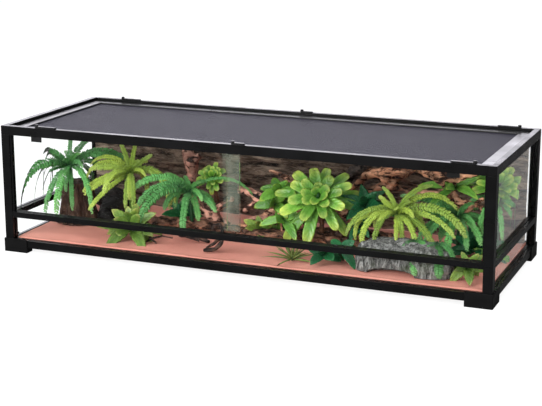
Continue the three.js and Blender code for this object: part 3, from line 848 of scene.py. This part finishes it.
# %% Leaf finishes
def leaf_finish(name, deep, fresh, tip, veins=26.0, tip_from=0.7, gloss=0.42):
    made = Finish(name, fresh, gloss, Specular_IOR_Level=0.4)
    along, across, tint = made.own("along"), made.own("across"), made.own("tint")
    body = made.mix(made.ramp(along, (0.0, 0.0), (0.35, 1.0)), deep, fresh)
    body = made.mix(made.ramp(along, (tip_from, 0.0), (1.0, 1.0)), body, tip)
    shade = made.ramp(tint, (0.0, (0.62, 0.66, 0.6)), (0.5, 1.0), (1.0, (1.25, 1.15, 1.0)))
    body = made.mix(1.0, body, shade, "MULTIPLY")
    blotch = made.ramp(made.noise(120, 3), (0.3, (0.8, 0.85, 0.8)), (0.7, (1.1, 1.08, 1.1)))
    ribs = made.math("ABSOLUTE", across)
    # Each leaf is lighter at its edges and darker along its middle: partly its own paler margin, partly
    # painted light on the raised edges and painted shade along the middle.
    margin_tone_and_painted_light = made.ramp(ribs, (0.0, (0.72, 0.8, 0.7)), (0.25, (0.95, 0.97, 0.95)), (1.0, (1.3, 1.2, 1.15)))
    made.set(Base_Color=made.mix(1.0, made.mix(1.0, body, blotch, "MULTIPLY"), margin_tone_and_painted_light, "MULTIPLY"))
    slant = made.math("MULTIPLY", ribs, -9.0)
    vein = made.math("SINE", made.math("ADD", made.math("MULTIPLY", along, veins * 6), slant))
    made.bump(vein, 0.0004, 0.5, under=made.bump(made.noise(500, 2), 0.0001, 0.4))
    return made.material


fern_green = leaf_finish("fern_green", (0.01, 0.06, 0.022), (0.15, 0.47, 0.14), (0.3, 0.64, 0.25))
lime_green = leaf_finish("lime_green", (0.07, 0.14, 0.015), (0.43, 0.6, 0.1), (0.62, 0.76, 0.2))
bromeliad_green = leaf_finish("bromeliad_green", (0.015, 0.08, 0.015), (0.17, 0.4, 0.06), (0.55, 0.66, 0.14),
                              veins=8, tip_from=0.7, gloss=0.3)
broad_green = leaf_finish("broad_green", (0.03, 0.1, 0.02), (0.13, 0.33, 0.045), (0.4, 0.52, 0.08),
                          veins=6, tip_from=0.8, gloss=0.35)
dark_green = leaf_finish("dark_green", (0.005, 0.035, 0.012), (0.012, 0.11, 0.04), (0.03, 0.2, 0.07),
                         veins=6, tip_from=0.8, gloss=0.35)
bush_green = leaf_finish("bush_green", (0.03, 0.07, 0.015), (0.16, 0.27, 0.05), (0.4, 0.4, 0.12),
                         veins=6, tip_from=0.75, gloss=0.4)
olive_green = leaf_finish("olive_green", (0.06, 0.1, 0.03), (0.2, 0.28, 0.08), (0.4, 0.42, 0.16), 3, 0.6)

stem_brown = Finish("stem_brown", (0.12, 0.05, 0.025), 0.7)
stem_tone = stem_brown.ramp(stem_brown.noise(140, 4), (0.3, (0.05, 0.022, 0.012)), (0.7, (0.22, 0.09, 0.045)))
stem_brown.set(Base_Color=stem_tone)
stem_brown.bump(stem_brown.noise(500, 3), 0.0003)
print("leaf finishes ready")

# %% [markdown]
# ## Fern fronds
# A frond is a midrib with pairs of leaflets set so closely that it looks like a strap with a toothed edge.
# One straight frond is built from copies of one leaflet, and every fern is made from arched copies of it.

# %% Frond
leaflet = as_pattern(leaf(11.5, 6.2, 0.7, 5, 4, [(0, 0.35), (0.2, 1), (0.55, 0.95), (0.85, 0.55), (1, 0)]))


def frond(pairs, seed, reach=11.0):
    """A straight frond one metre long, to be scaled to its length later."""
    luck = random.Random(seed)
    copies = []
    for i in range(pairs):
        t = (i + 0.8) / pairs
        size = float(np.interp(t, [0, 0.1, 0.3, 0.8, 0.94, 1], [0.5, 0.8, 1, 1, 0.75, 0.4]))
        for side in (-1, 1):
            lean = math.radians(np.interp(t, [0, 1], [78, 42]) + luck.uniform(-6, 6))
            scale = size * luck.uniform(0.85, 1.1) * reach / 11
            turn = Matrix.Rotation(-side * lean, 4, "X") @ Matrix.Rotation(luck.uniform(-0.25, 0.25), 4, "Z")
            copies.append((leaflet, Matrix.Translation((0, 0, t * 0.98 + luck.uniform(-0.2, 0.2) / pairs))
                           @ Matrix.Rotation(-side * luck.uniform(0.1, 0.4), 4, "Z")
                           @ Matrix.Diagonal((1, 1, 1 / 0.16, 1)) @ turn @ Matrix.Scale(scale, 4),
                           {"along": t, "tint": 0.5}))
    rib = as_pattern(leaf(1000, 1.5, 1.5, 9, 4, [(0, 1), (0.6, 0.7), (1, 0.1)]))
    copies.append((rib, Matrix.Identity(4), {"across": 0.0, "tint": 0.1}))
    return gathered("frond", copies)


fronds = [frond(30, seed) for seed in (1, 2, 3)]
print("frond vertices:", len(fronds[0].data.vertices))

# %% [markdown]
# ## Putting a plant together
# Each leaf is a row: its heading, the angle at which it rises, how far it bends over (in degrees), its
# length and its width (in millimetres). A leaf that points to the side is rolled, so that its face is seen.
# What would pass the glass, the background or the sand is pressed flat against it.

# %% Plant helpers
golden_angle = 137.508
towards_viewer = Vector((0.368, -0.898, 0.242))  # from the cabinet to the camera
room_half = 0.586  # between the end panes
behind_doors = -0.2045
room_low = Vector((-room_half, behind_doors, bed_high.z - 0.004))
room_high = Vector((room_half, sheet_low.y + 0.004, screen_low.z - 0.012))


def facing_roll(heading, rise, droop):
    """The roll at which a leaf's face is best seen halfway along, softened a little."""
    lean = rise - 0.5 * droop
    out = Vector((math.cos(heading), math.sin(heading), 0))
    face = Vector((0, 0, math.cos(lean))) - out * math.sin(lean)
    side = Vector((-out.y, out.x, 0))
    roll = math.atan2(-side.dot(towards_viewer), face.dot(towards_viewer))
    if abs(roll) > math.pi / 2:
        roll -= math.copysign(math.pi, roll)
    return 0.8 * roll


def kept_inside(piece):
    """Presses a piece's vertices back into the room inside the cabinet."""
    count = len(piece.data.vertices)
    points = np.empty(count * 3)
    piece.data.vertices.foreach_get("co", points)
    points = np.clip(points.reshape(-1, 3), room_low, room_high)
    piece.data.vertices.foreach_set("co", points.ravel())
    piece.data.update()
    return piece


def spiral(count, rise, droop, length, width, seed=0):
    """Rows for leaves on a golden-angle spiral: the inner ones stand up and the outer ones hang."""
    luck = random.Random(seed)
    rows = []
    for i in range(count):
        age = i / (count - 1)
        grown_rise, grown_droop, grown_length = (a + (b - a) * age for a, b in (rise, droop, length))
        rows.append((i * golden_angle + luck.uniform(-8, 8), grown_rise + luck.uniform(-5, 5),
                     grown_droop + luck.uniform(-10, 10), grown_length * luck.uniform(0.9, 1.1),
                     width * luck.uniform(0.85, 1.15)))
    return rows


def plant(name, crown, rows, patterns, material, pattern_width, crown_radius=6, foot=None, seed=0):
    """A plant from rows that leave one crown. A foot, if given, is where its stem meets the sand."""
    luck = random.Random(seed)
    copies = []
    for heading, rise, droop, length, width in rows:
        heading, rise, droop = (math.radians(v) for v in (heading, rise, droop))
        source = patterns[luck.randrange(len(patterns))]
        roll = facing_roll(heading, rise, droop)
        twist = math.radians(luck.uniform(-20, 20))
        one = arched(source, length / 1000, droop, twist, width / pattern_width, roll)
        copies.append((one, set_at(crown, heading, rise), {"tint": luck.random()}))
    if crown_radius:
        ball = as_pattern(leaf(2.2 * crown_radius, 1.6 * crown_radius, 1.6 * crown_radius, 8, 10,
                               [(0, 0.5), (0.5, 1), (1, 0)]))
        middle = Matrix.Translation(Vector(crown) / 1000 - Vector((0, 0, crown_radius * 0.0012)))
        copies.append((ball, middle, {"along": 0.0, "tint": 0.3}))
    if foot:
        thick = 2 * crown_radius
        rod = as_pattern(leaf(1000, thick, thick, 12, 8, [(0, 1), (0.5, 0.9), (1, 0.6)]))
        run = (Vector(crown) - Vector(foot)) / 1000
        stand = Matrix.Translation(Vector(foot) / 1000) @ run.to_track_quat("Z", "X").to_matrix().to_4x4()
        copies.append((rod, stand @ Matrix.Diagonal((1, 1, run.length, 1)), {"along": 0.0, "tint": 0.2}))
    piece = kept_inside(gathered(name, copies))
    piece.data.materials.append(material)
    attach(piece, "root")
    return piece


print("plant helpers ready")

# %% [markdown]
# ## The ferns
# The large fronds are set from the photo. A row says where a frond goes (0 is to the viewer's right,
# 90 to the front, 180 to the left, 270 to the back), how steeply it rises, how far it bends over, its
# length and width. A spiral of short fronds fills each crown. Three of the ferns stand where the CAD model
# has theirs.

# %% Ferns
viewer_right = 22  # the heading that points to the viewer's right
frond_width = 22


def fern(name, crown, by_eye, material, foot=None, radius=6, fill=10, reach=(50, 105), seed=0):
    rows = [(viewer_right - side, *rest) for side, *rest in by_eye]
    rows += spiral(fill, (80, 10), (70, 120), reach, 17, seed)
    return plant(name, crown, rows, fronds, material, frond_width, radius, foot, seed)


stump_top = (-544, -22, 142)
fern_on_stump = fern("fern_on_stump", (-544, -22, 178), [
    (180, 55, 160, 260, 18), (170, 65, 90, 130, 16), (270, 85, 40, 80, 16), (10, 55, 140, 210, 26),
    (0, 50, 120, 190, 18), (130, 40, 130, 250, 30), (175, 20, 60, 150, 9), (165, 0, 50, 130, 9),
    (95, 15, 90, 200, 24), (110, 5, 80, 180, 18), (60, 20, 110, 200, 18), (80, 0, 90, 150, 16),
    (300, 60, 80, 160, 20), (340, 50, 110, 190, 20), (195, 50, 130, 200, 18), (150, 30, 120, 190, 20)],
    fern_green, stump_top, 8, 14, (60, 120), seed=1)
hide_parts("fern_left")

lime_fern = fern("lime_fern", (-374, -12, 172), [
    (200, 80, 20, 85, 16), (20, 85, 15, 85, 15), (0, 55, 30, 75, 18), (30, 40, 150, 190, 26),
    (5, 30, 130, 170, 14), (180, 35, 60, 110, 28), (170, 5, 50, 135, 20), (155, 0, 40, 135, 18),
    (130, -10, 30, 165, 16), (95, 0, 90, 120, 16), (80, 20, 130, 150, 16), (190, 55, 130, 150, 16),
    (200, 65, 120, 140, 14), (120, 40, 110, 140, 20)], lime_green, (-374, -12, 37), fill=12, seed=2)
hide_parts("lime_fern_left")

rock_fern = fern("rock_fern", (338, -46, 142), [
    (0, 75, 70, 115, 16), (200, 85, 50, 75, 15), (190, 50, 10, 60, 18), (20, 40, 110, 200, 26),
    (350, 60, 120, 180, 18), (185, 35, 140, 150, 16), (150, 35, 140, 150, 20), (130, 30, 130, 130, 18),
    (95, 10, 70, 105, 16), (50, 10, 70, 145, 22), (70, 15, 80, 130, 18), (180, 10, 50, 120, 9),
    (30, 25, 80, 165, 18), (165, 40, 120, 160, 16)], lime_green, (338, -46, 37), fill=12, seed=3)
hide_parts("lime_fern_right")

fern("middle_fern", (-215, 0, 135), [
    (180, 55, 110, 170, 24), (140, 35, 110, 190, 30), (95, 15, 90, 170, 24), (45, 10, 60, 110, 20),
    (70, 0, 80, 100, 22), (200, 60, 60, 85, 18), (0, 50, 110, 190, 10), (160, 45, 120, 170, 22)],
    fern_green, (-215, 12, 37), seed=4)
fern("side_fern", (463, 40, 128), [
    (180, 40, 40, 150, 18), (170, 30, 70, 140, 20), (160, 15, 90, 135, 24), (110, 15, 90, 160, 24),
    (60, 10, 80, 110, 22), (135, 20, 80, 150, 20), (85, 0, 60, 120, 20), (190, 60, 90, 130, 18),
    (20, 30, 90, 90, 16)], fern_green, (463, 40, 37), seed=5)
fern("end_fern", (545, 70, 165), [
    (60, 0, 80, 110, 14), (20, 10, 100, 120, 12), (90, -10, 60, 115, 16), (120, 0, 90, 110, 14)],
    fern_green, (545, 80, 37), 5, 8, seed=6)
hanging = [(-70, -15, 60, 98, 30), (-112, -5, 80, 80, 20), (-20, 5, 90, 70, 18)]
for i, x in enumerate((404, 458)):
    plant(f"rock_top_fern_{i + 1}", (x, -127, 109), hanging, fronds, fern_green, frond_width, 3, None, 22 + i)
print("fern vertices:", [len(o.data.vertices) for o in (fern_on_stump, lime_fern, rock_fern)])

# %% [markdown]
# ## The bromeliads
# Stiff strap leaves with round tips stand round a cup: an outer ring of long ones and inner rings of
# short ones, on a spiral. The cup is a dark ball sunk in the middle, painted shade deep in the rosette.
# The whole rosette is then tipped towards the viewer.

# %% Bromeliads
strap_outline = [(0, 0.5), (0.15, 0.7), (0.4, 0.95), (0.75, 1.0), (0.9, 0.85), (0.97, 0.5), (1, 0)]
strap_width = 27
strap = leaf(1000, strap_width, 2.0, 14, 8, strap_outline, channel=0.3)


def rosette(name, place, foot, count, length, width, facing, tip_over, seed, painted_shade_cup_size=1.0, upper_loss=0.0):
    """Leaves on a spiral round the Z axis, then all tipped over. Those that end up above lose length."""
    luck = random.Random(seed)
    copies = []
    for heading, rise, droop, run, wide in spiral(count, (74, 4), (25, 45), length, width, seed):
        run *= 1 - upper_loss * max(0, -math.cos(math.radians(heading - facing)))
        one = arched(strap, run / 1000, math.radians(droop), 0, wide / strap_width)
        stand = set_at((0, 0, 0), math.radians(heading), math.radians(rise))
        copies.append((one, stand, {"tint": luck.random()}))
    # A dark ball sunk in the middle: painted shade deep in the rosette's cup.
    painted_shade_cup = as_pattern(leaf(20, 14, 14, 8, 10, [(0, 0.7), (0.5, 1), (0.9, 0.9), (1, 0)]))
    sunk = Matrix.Translation((0, 0, -0.006)) @ Matrix.Scale(painted_shade_cup_size, 4)
    copies.append((painted_shade_cup, sunk, {"along": -0.4, "tint": 0.0}))
    piece = gathered(name, copies)
    turn = (Matrix.Rotation(math.radians(facing), 4, "Z") @ Matrix.Rotation(math.radians(tip_over), 4, "Y")
            @ Matrix.Rotation(math.radians(-facing), 4, "Z"))
    piece.data.transform(Matrix.Translation(Vector(place) / 1000) @ turn)
    piece.data.materials.append(bromeliad_green)
    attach(kept_inside(piece), "root")
    middle = [(a + b) / 2 + 3 for a, b in zip(foot, place)]
    stalk = grown(f"{name}_stalk", [[(*foot, 7), (*middle, 6), (*place, 5)]], wear=0.002, grain=0.012)
    stalk.data.materials.append(stem_brown.material)
    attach(stalk, "root")
    return piece


big_bromeliad = rosette("big_bromeliad", (122, 14, 148), (122, 40, 37), 30, (50, 132), 27, -72, 58, 7,
                        painted_shade_cup_size=1.3, upper_loss=0.3)
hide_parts("bromeliad_centre")
rosette("small_bromeliad", (-179, 60, 161), (-176, 80, 37), 26, (26, 48), 15, -75, 52, 8, 0.7)
rosette("end_bromeliad", (540, 90, 196), (548, 110, 37), 26, (44, 74), 21, -55, 52, 9)
print("bromeliads done")

# %% [markdown]
# ## Broad-leaved plants and grass
# Oval and heart-shaped leaves fill the gaps between the big plants, and a tuft of thin blades stands near
# the front. Each grows from its crown on a spiral.

# %% Small plants
oval_outline = [(0, 0.12), (0.08, 0.5), (0.25, 0.95), (0.5, 1.0), (0.8, 0.65), (0.95, 0.2), (1, 0)]
heart_outline = [(0, 0.1), (0.06, 0.8), (0.2, 1.0), (0.5, 0.85), (0.8, 0.4), (0.95, 0.12), (1, 0)]
oval = leaf(1000, 26, 1.2, 12, 8, oval_outline, channel=0.18, ruffle=0.6)
heart = leaf(1000, 38, 1.2, 12, 8, heart_outline, channel=0.2, ruffle=1.0)
blade = leaf(1000, 4, 0.8, 10, 4, [(0, 1), (0.5, 0.8), (1, 0)])


def bush(name, crown, count, rise, length, width, source, nominal, material, seed, bend=(15, 55)):
    rows = spiral(count, rise, bend, length, width, seed)
    return plant(name, crown, rows, [source], material, nominal, 3, None, seed)


bush("oval_leaf_plant_high", (18, 16, 152), 9, (60, -5), (42, 68), 24, oval, 24, broad_green, 12)
bush("oval_leaf_plant_mid", (12, 6, 122), 7, (50, -10), (38, 60), 22, oval, 24, broad_green, 13)
bush("oval_leaf_plant_low", (40, -10, 92), 7, (30, -20), (45, 72), 23, oval, 24, broad_green, 14)
bush("dark_leaf_plant_high", (234, 40, 132), 10, (70, -10), (50, 92), 25, heart, 34, dark_green, 15)
bush("dark_leaf_plant_low", (228, 10, 84), 8, (60, -15), (36, 52), 21, heart, 34, dark_green, 16)
bush("low_bush", (-311, -135, 63), 22, (80, -14), (62, 92), 22, oval, 21, bush_green, 17)
bush("front_dark_leaves", (203, -160, 62), 10, (60, -14), (30, 48), 22, oval, 22, dark_green, 18)
bush("front_hanging_leaves", (236, -142, 72), 7, (40, -30), (40, 66), 21, oval, 22, dark_green, 19)
bush("corner_leaf_plant", (536, -150, 63), 13, (65, -18), (40, 60), 19, oval, 24, bush_green, 20)
bush("leaves_behind_wood", (447, 60, 191), 8, (35, 0), (70, 110), 17, oval, 24, broad_green, 21)
bush("dark_leaves_by_rock", (505, 30, 52), 14, (70, 10), (55, 85), 24, heart, 38, dark_green, 22)
bush("leaves_under_limb", (-30, 20, 46), 13, (65, 10), (45, 70), 20, oval, 26, bush_green, 23)
bush("leaves_by_holed_wood", (-262, 70, 46), 13, (70, 10), (50, 85), 20, oval, 26, dark_green, 24)
bush("end_low_plant", (556, 20, 42), 9, (60, 10), (40, 60), 16, oval, 26, broad_green, 25)
bush("grass_tuft", (125, -166, 42), 30, (82, 2), (38, 84), 4.5, blade, 4, olive_green, 26, bend=(8, 30))
for spare in (strap, oval, heart, blade, *fronds):
    bpy.data.objects.remove(spare)
print("small plants done")

# %% [markdown]
# ## Branches
# Washed-out roots with holes, a pale spider wood in the right end, dark branches at the front, a tube of
# bark, and at the back a black log that is painted shade beside the stump. Black inlays paint the shade
# inside the wood's holes. A limb is a few points, placed against the photo, each with the wood's
# radius there.

# %% Branches
pale_finish = wood_finish("pale_root", (0.16, 0.07, 0.055), (0.42, 0.2, 0.15), (0.6, 0.36, 0.27), 60)
spider_finish = wood_finish("spider_wood", (0.13, 0.05, 0.03), (0.42, 0.19, 0.11), (0.62, 0.35, 0.22), 60)
dark_wood = wood_finish("dark_branch", (0.006, 0.004, 0.004), (0.02, 0.012, 0.01), (0.1, 0.05, 0.035), 60)
# A near-black wood finish: painted shade, for the insides of holes and for the dark log beside the stump.
painted_shade_black = wood_finish("painted_shade_wood", (0.003, 0.002, 0.002), (0.006, 0.004, 0.004), (0.02, 0.012, 0.01), 60)
striped_bark = wood_finish("striped_bark", (0.012, 0.01, 0.01), (0.06, 0.045, 0.04), (0.22, 0.16, 0.13), 45)
shaded_finish = wood_finish("shaded_root", (0.02, 0.01, 0.007), (0.11, 0.05, 0.032), (0.3, 0.15, 0.09), 60)
woods = {
    "buried_root": (shaded_finish, 0.006, [
        [(-380, 30, 42, 16), (-300, 10, 46, 18), (-220, 20, 48, 20), (-120, 10, 44, 18), (-20, 0, 46, 18),
         (80, 10, 48, 20), (180, 0, 44, 18), (260, 20, 42, 15)],
        [(80, 10, 48, 20), (130, 60, 50, 18), (200, 80, 52, 20), (300, 70, 46, 16)]]),
    "pale_root": (pale_finish, 0.004, [
        [(-120, 75, 135, 11), (-85, 75, 130, 13), (-50, 75, 118, 14), (-10, 75, 105, 12), (25, 75, 110, 11),
         (60, 75, 125, 9)],
        [(-50, 75, 118, 14), (-75, 70, 95, 10), (-100, 70, 78, 8)]]),
    "low_root": (pale_finish, 0.005, [
        [(-105, 85, 50, 10), (-60, 90, 58, 15), (-5, 90, 62, 16), (50, 85, 75, 14), (90, 70, 60, 10)],
        [(-5, 90, 62, 16), (30, 60, 50, 10), (70, 45, 44, 7)]]),
    # Black inlays: painted shade inside the pale root's holes.
    "root_slot_shade": (painted_shade_black, 0.001, [[(-80, 62, 132, 4), (-55, 62, 122, 5), (-20, 62, 105, 4)]]),
    "root_hole_shade": (painted_shade_black, 0.0005, [[(-100, 64, 130, 5), (-95, 64, 128, 5)]]),
    "low_limb": (spider_finish, 0.003, [
        [(-105, 40, 45, 12), (-55, 40, 52, 12), (0, 40, 72, 10), (40, 40, 90, 8), (75, 40, 103, 6)],
        [(-55, 40, 52, 12), (-20, 30, 46, 10), (20, 25, 46, 8), (60, 25, 44, 5)]]),
    "leaning_trunk": (spider_finish, 0.005, [
        [(165, 120, 145, 6), (190, 120, 165, 10), (210, 125, 190, 15), (250, 125, 205, 16),
         (290, 125, 205, 15), (320, 125, 198, 12)],
        [(250, 125, 205, 16), (260, 120, 180, 15), (290, 120, 174, 10)]]),
    "spider_wood": (spider_finish, 0.004, [
        [(345, 60, 235, 6), (375, 60, 220, 13), (410, 60, 217, 15), (445, 60, 220, 14), (480, 60, 228, 11),
         (515, 60, 238, 7)],
        [(445, 60, 220, 14), (435, 58, 190, 9), (455, 56, 160, 9), (475, 54, 135, 8), (495, 52, 105, 8),
         (510, 50, 75, 8), (510, 48, 40, 7)],
        [(455, 56, 160, 9), (485, 50, 160, 6), (520, 46, 150, 5)],
        [(475, 54, 135, 8), (495, 46, 158, 5), (520, 42, 175, 4)],
        [(410, 60, 217, 15), (420, 58, 185, 6), (440, 56, 165, 6)],
        [(455, 56, 160, 9), (430, 58, 145, 5), (420, 58, 130, 3.5)]]),
    # Black inlays: painted shade inside the spider wood's holes.
    "spider_hole_shade": (painted_shade_black, 0.0005, [
        [(445, 50, 170, 3), (450, 50, 160, 4)], [(398, 46, 216, 3), (410, 46, 214, 3)],
        [(470, 46, 142, 3), (478, 45, 132, 3)]]),
    "leaf_twigs": (spider_finish, 0.0005, [
        [(20, 20, 160, 2), (18, 18, 150, 2), (12, 8, 122, 2.5), (30, -4, 92, 3), (34, 6, 38, 3.5)],
        [(234, 40, 132, 2), (230, 20, 84, 3), (232, 26, 38, 3)]]),
    "twig": (dark_wood, 0.001, [[(215, 0, 134, 3), (216, 0, 100, 3), (206, 0, 68, 3), (198, 0, 38, 3)]]),
    "bark_tube": (striped_bark, 0.006, [
        [(125, 140, 140, 14), (150, 140, 170, 17), (170, 140, 190, 19), (200, 140, 207, 15)]]),
    "holed_wood": (pale_finish, 0.005, [
        [(-287, 130, 220, 16), (-276, 130, 180, 18), (-266, 126, 140, 17), (-255, 120, 104, 14),
         (-252, 118, 50, 13)],
        [(-276, 130, 180, 18), (-246, 128, 198, 10)]]),
    "low_holed_wood": (pale_finish, 0.005, [
        [(-227, 60, 90, 15), (-190, 50, 72, 18), (-150, 40, 52, 17), (-122, 32, 44, 10)],
        [(-190, 50, 72, 18), (-150, 50, 95, 13), (-117, 56, 115, 10)]]),
    # Black inlays: painted shade inside the holed woods' holes.
    "wood_hole_shade": (painted_shade_black, 0.0005, [
        [(-198, 34, 75, 3), (-192, 33, 73, 4)], [(-168, 30, 62, 4), (-163, 29, 60, 3)],
        [(-283, 113, 190, 4), (-279, 113, 184, 4)], [(-262, 112, 150, 4), (-258, 112, 146, 3)],
        [(-265, 112, 196, 3), (-258, 112, 194, 4)]]),
    "dark_front_branch": (dark_wood, 0.001, [
        [(-88, -140, 82, 5), (-84, -142, 97, 5), (-64, -146, 103, 5), (-56, -152, 80, 5), (-58, -158, 60, 6),
         (-72, -164, 44, 6), (-102, -168, 40, 5)],
        [(-56, -152, 80, 5), (-80, -150, 54, 5), (-102, -150, 41, 3.5)]]),
    "dark_bits": (dark_wood, 0.002, [
        [(-205, -90, 47, 5), (-168, -90, 46, 6), (-117, -94, 40, 5)],
        [(-168, -90, 46, 6), (-142, -100, 39, 3.5)]]),
    "bush_twigs": (dark_wood, 0.001, [
        [(-272, -130, 63, 3), (-256, -136, 44, 3), (-233, -150, 38, 2.5)],
        [(-256, -136, 44, 3), (-226, -136, 54, 2.5), (-196, -136, 52, 2)],
        [(-256, -136, 44, 3), (-263, -150, 38, 2.5)]]),
    # A black log behind and beside the stump: painted shade in the dark space there.
    "painted_shade_log": (painted_shade_black, 0.004, [
        [(-550, 100, 66, 30), (-510, 104, 82, 38), (-460, 100, 74, 38), (-405, 96, 58, 26)],
        [(-460, 100, 74, 38), (-470, 30, 46, 28), (-440, -30, 42, 22), (-390, -50, 40, 14)]]),
}
for seed, (name, (finish, wear, limbs)) in enumerate(woods.items()):
    wood = grown(name, limbs, wear=wear, grain=0.018, seed=seed)
    wood.data.materials.append(finish)
    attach(kept_inside(wood), "root")
print("branches done:", len(woods))
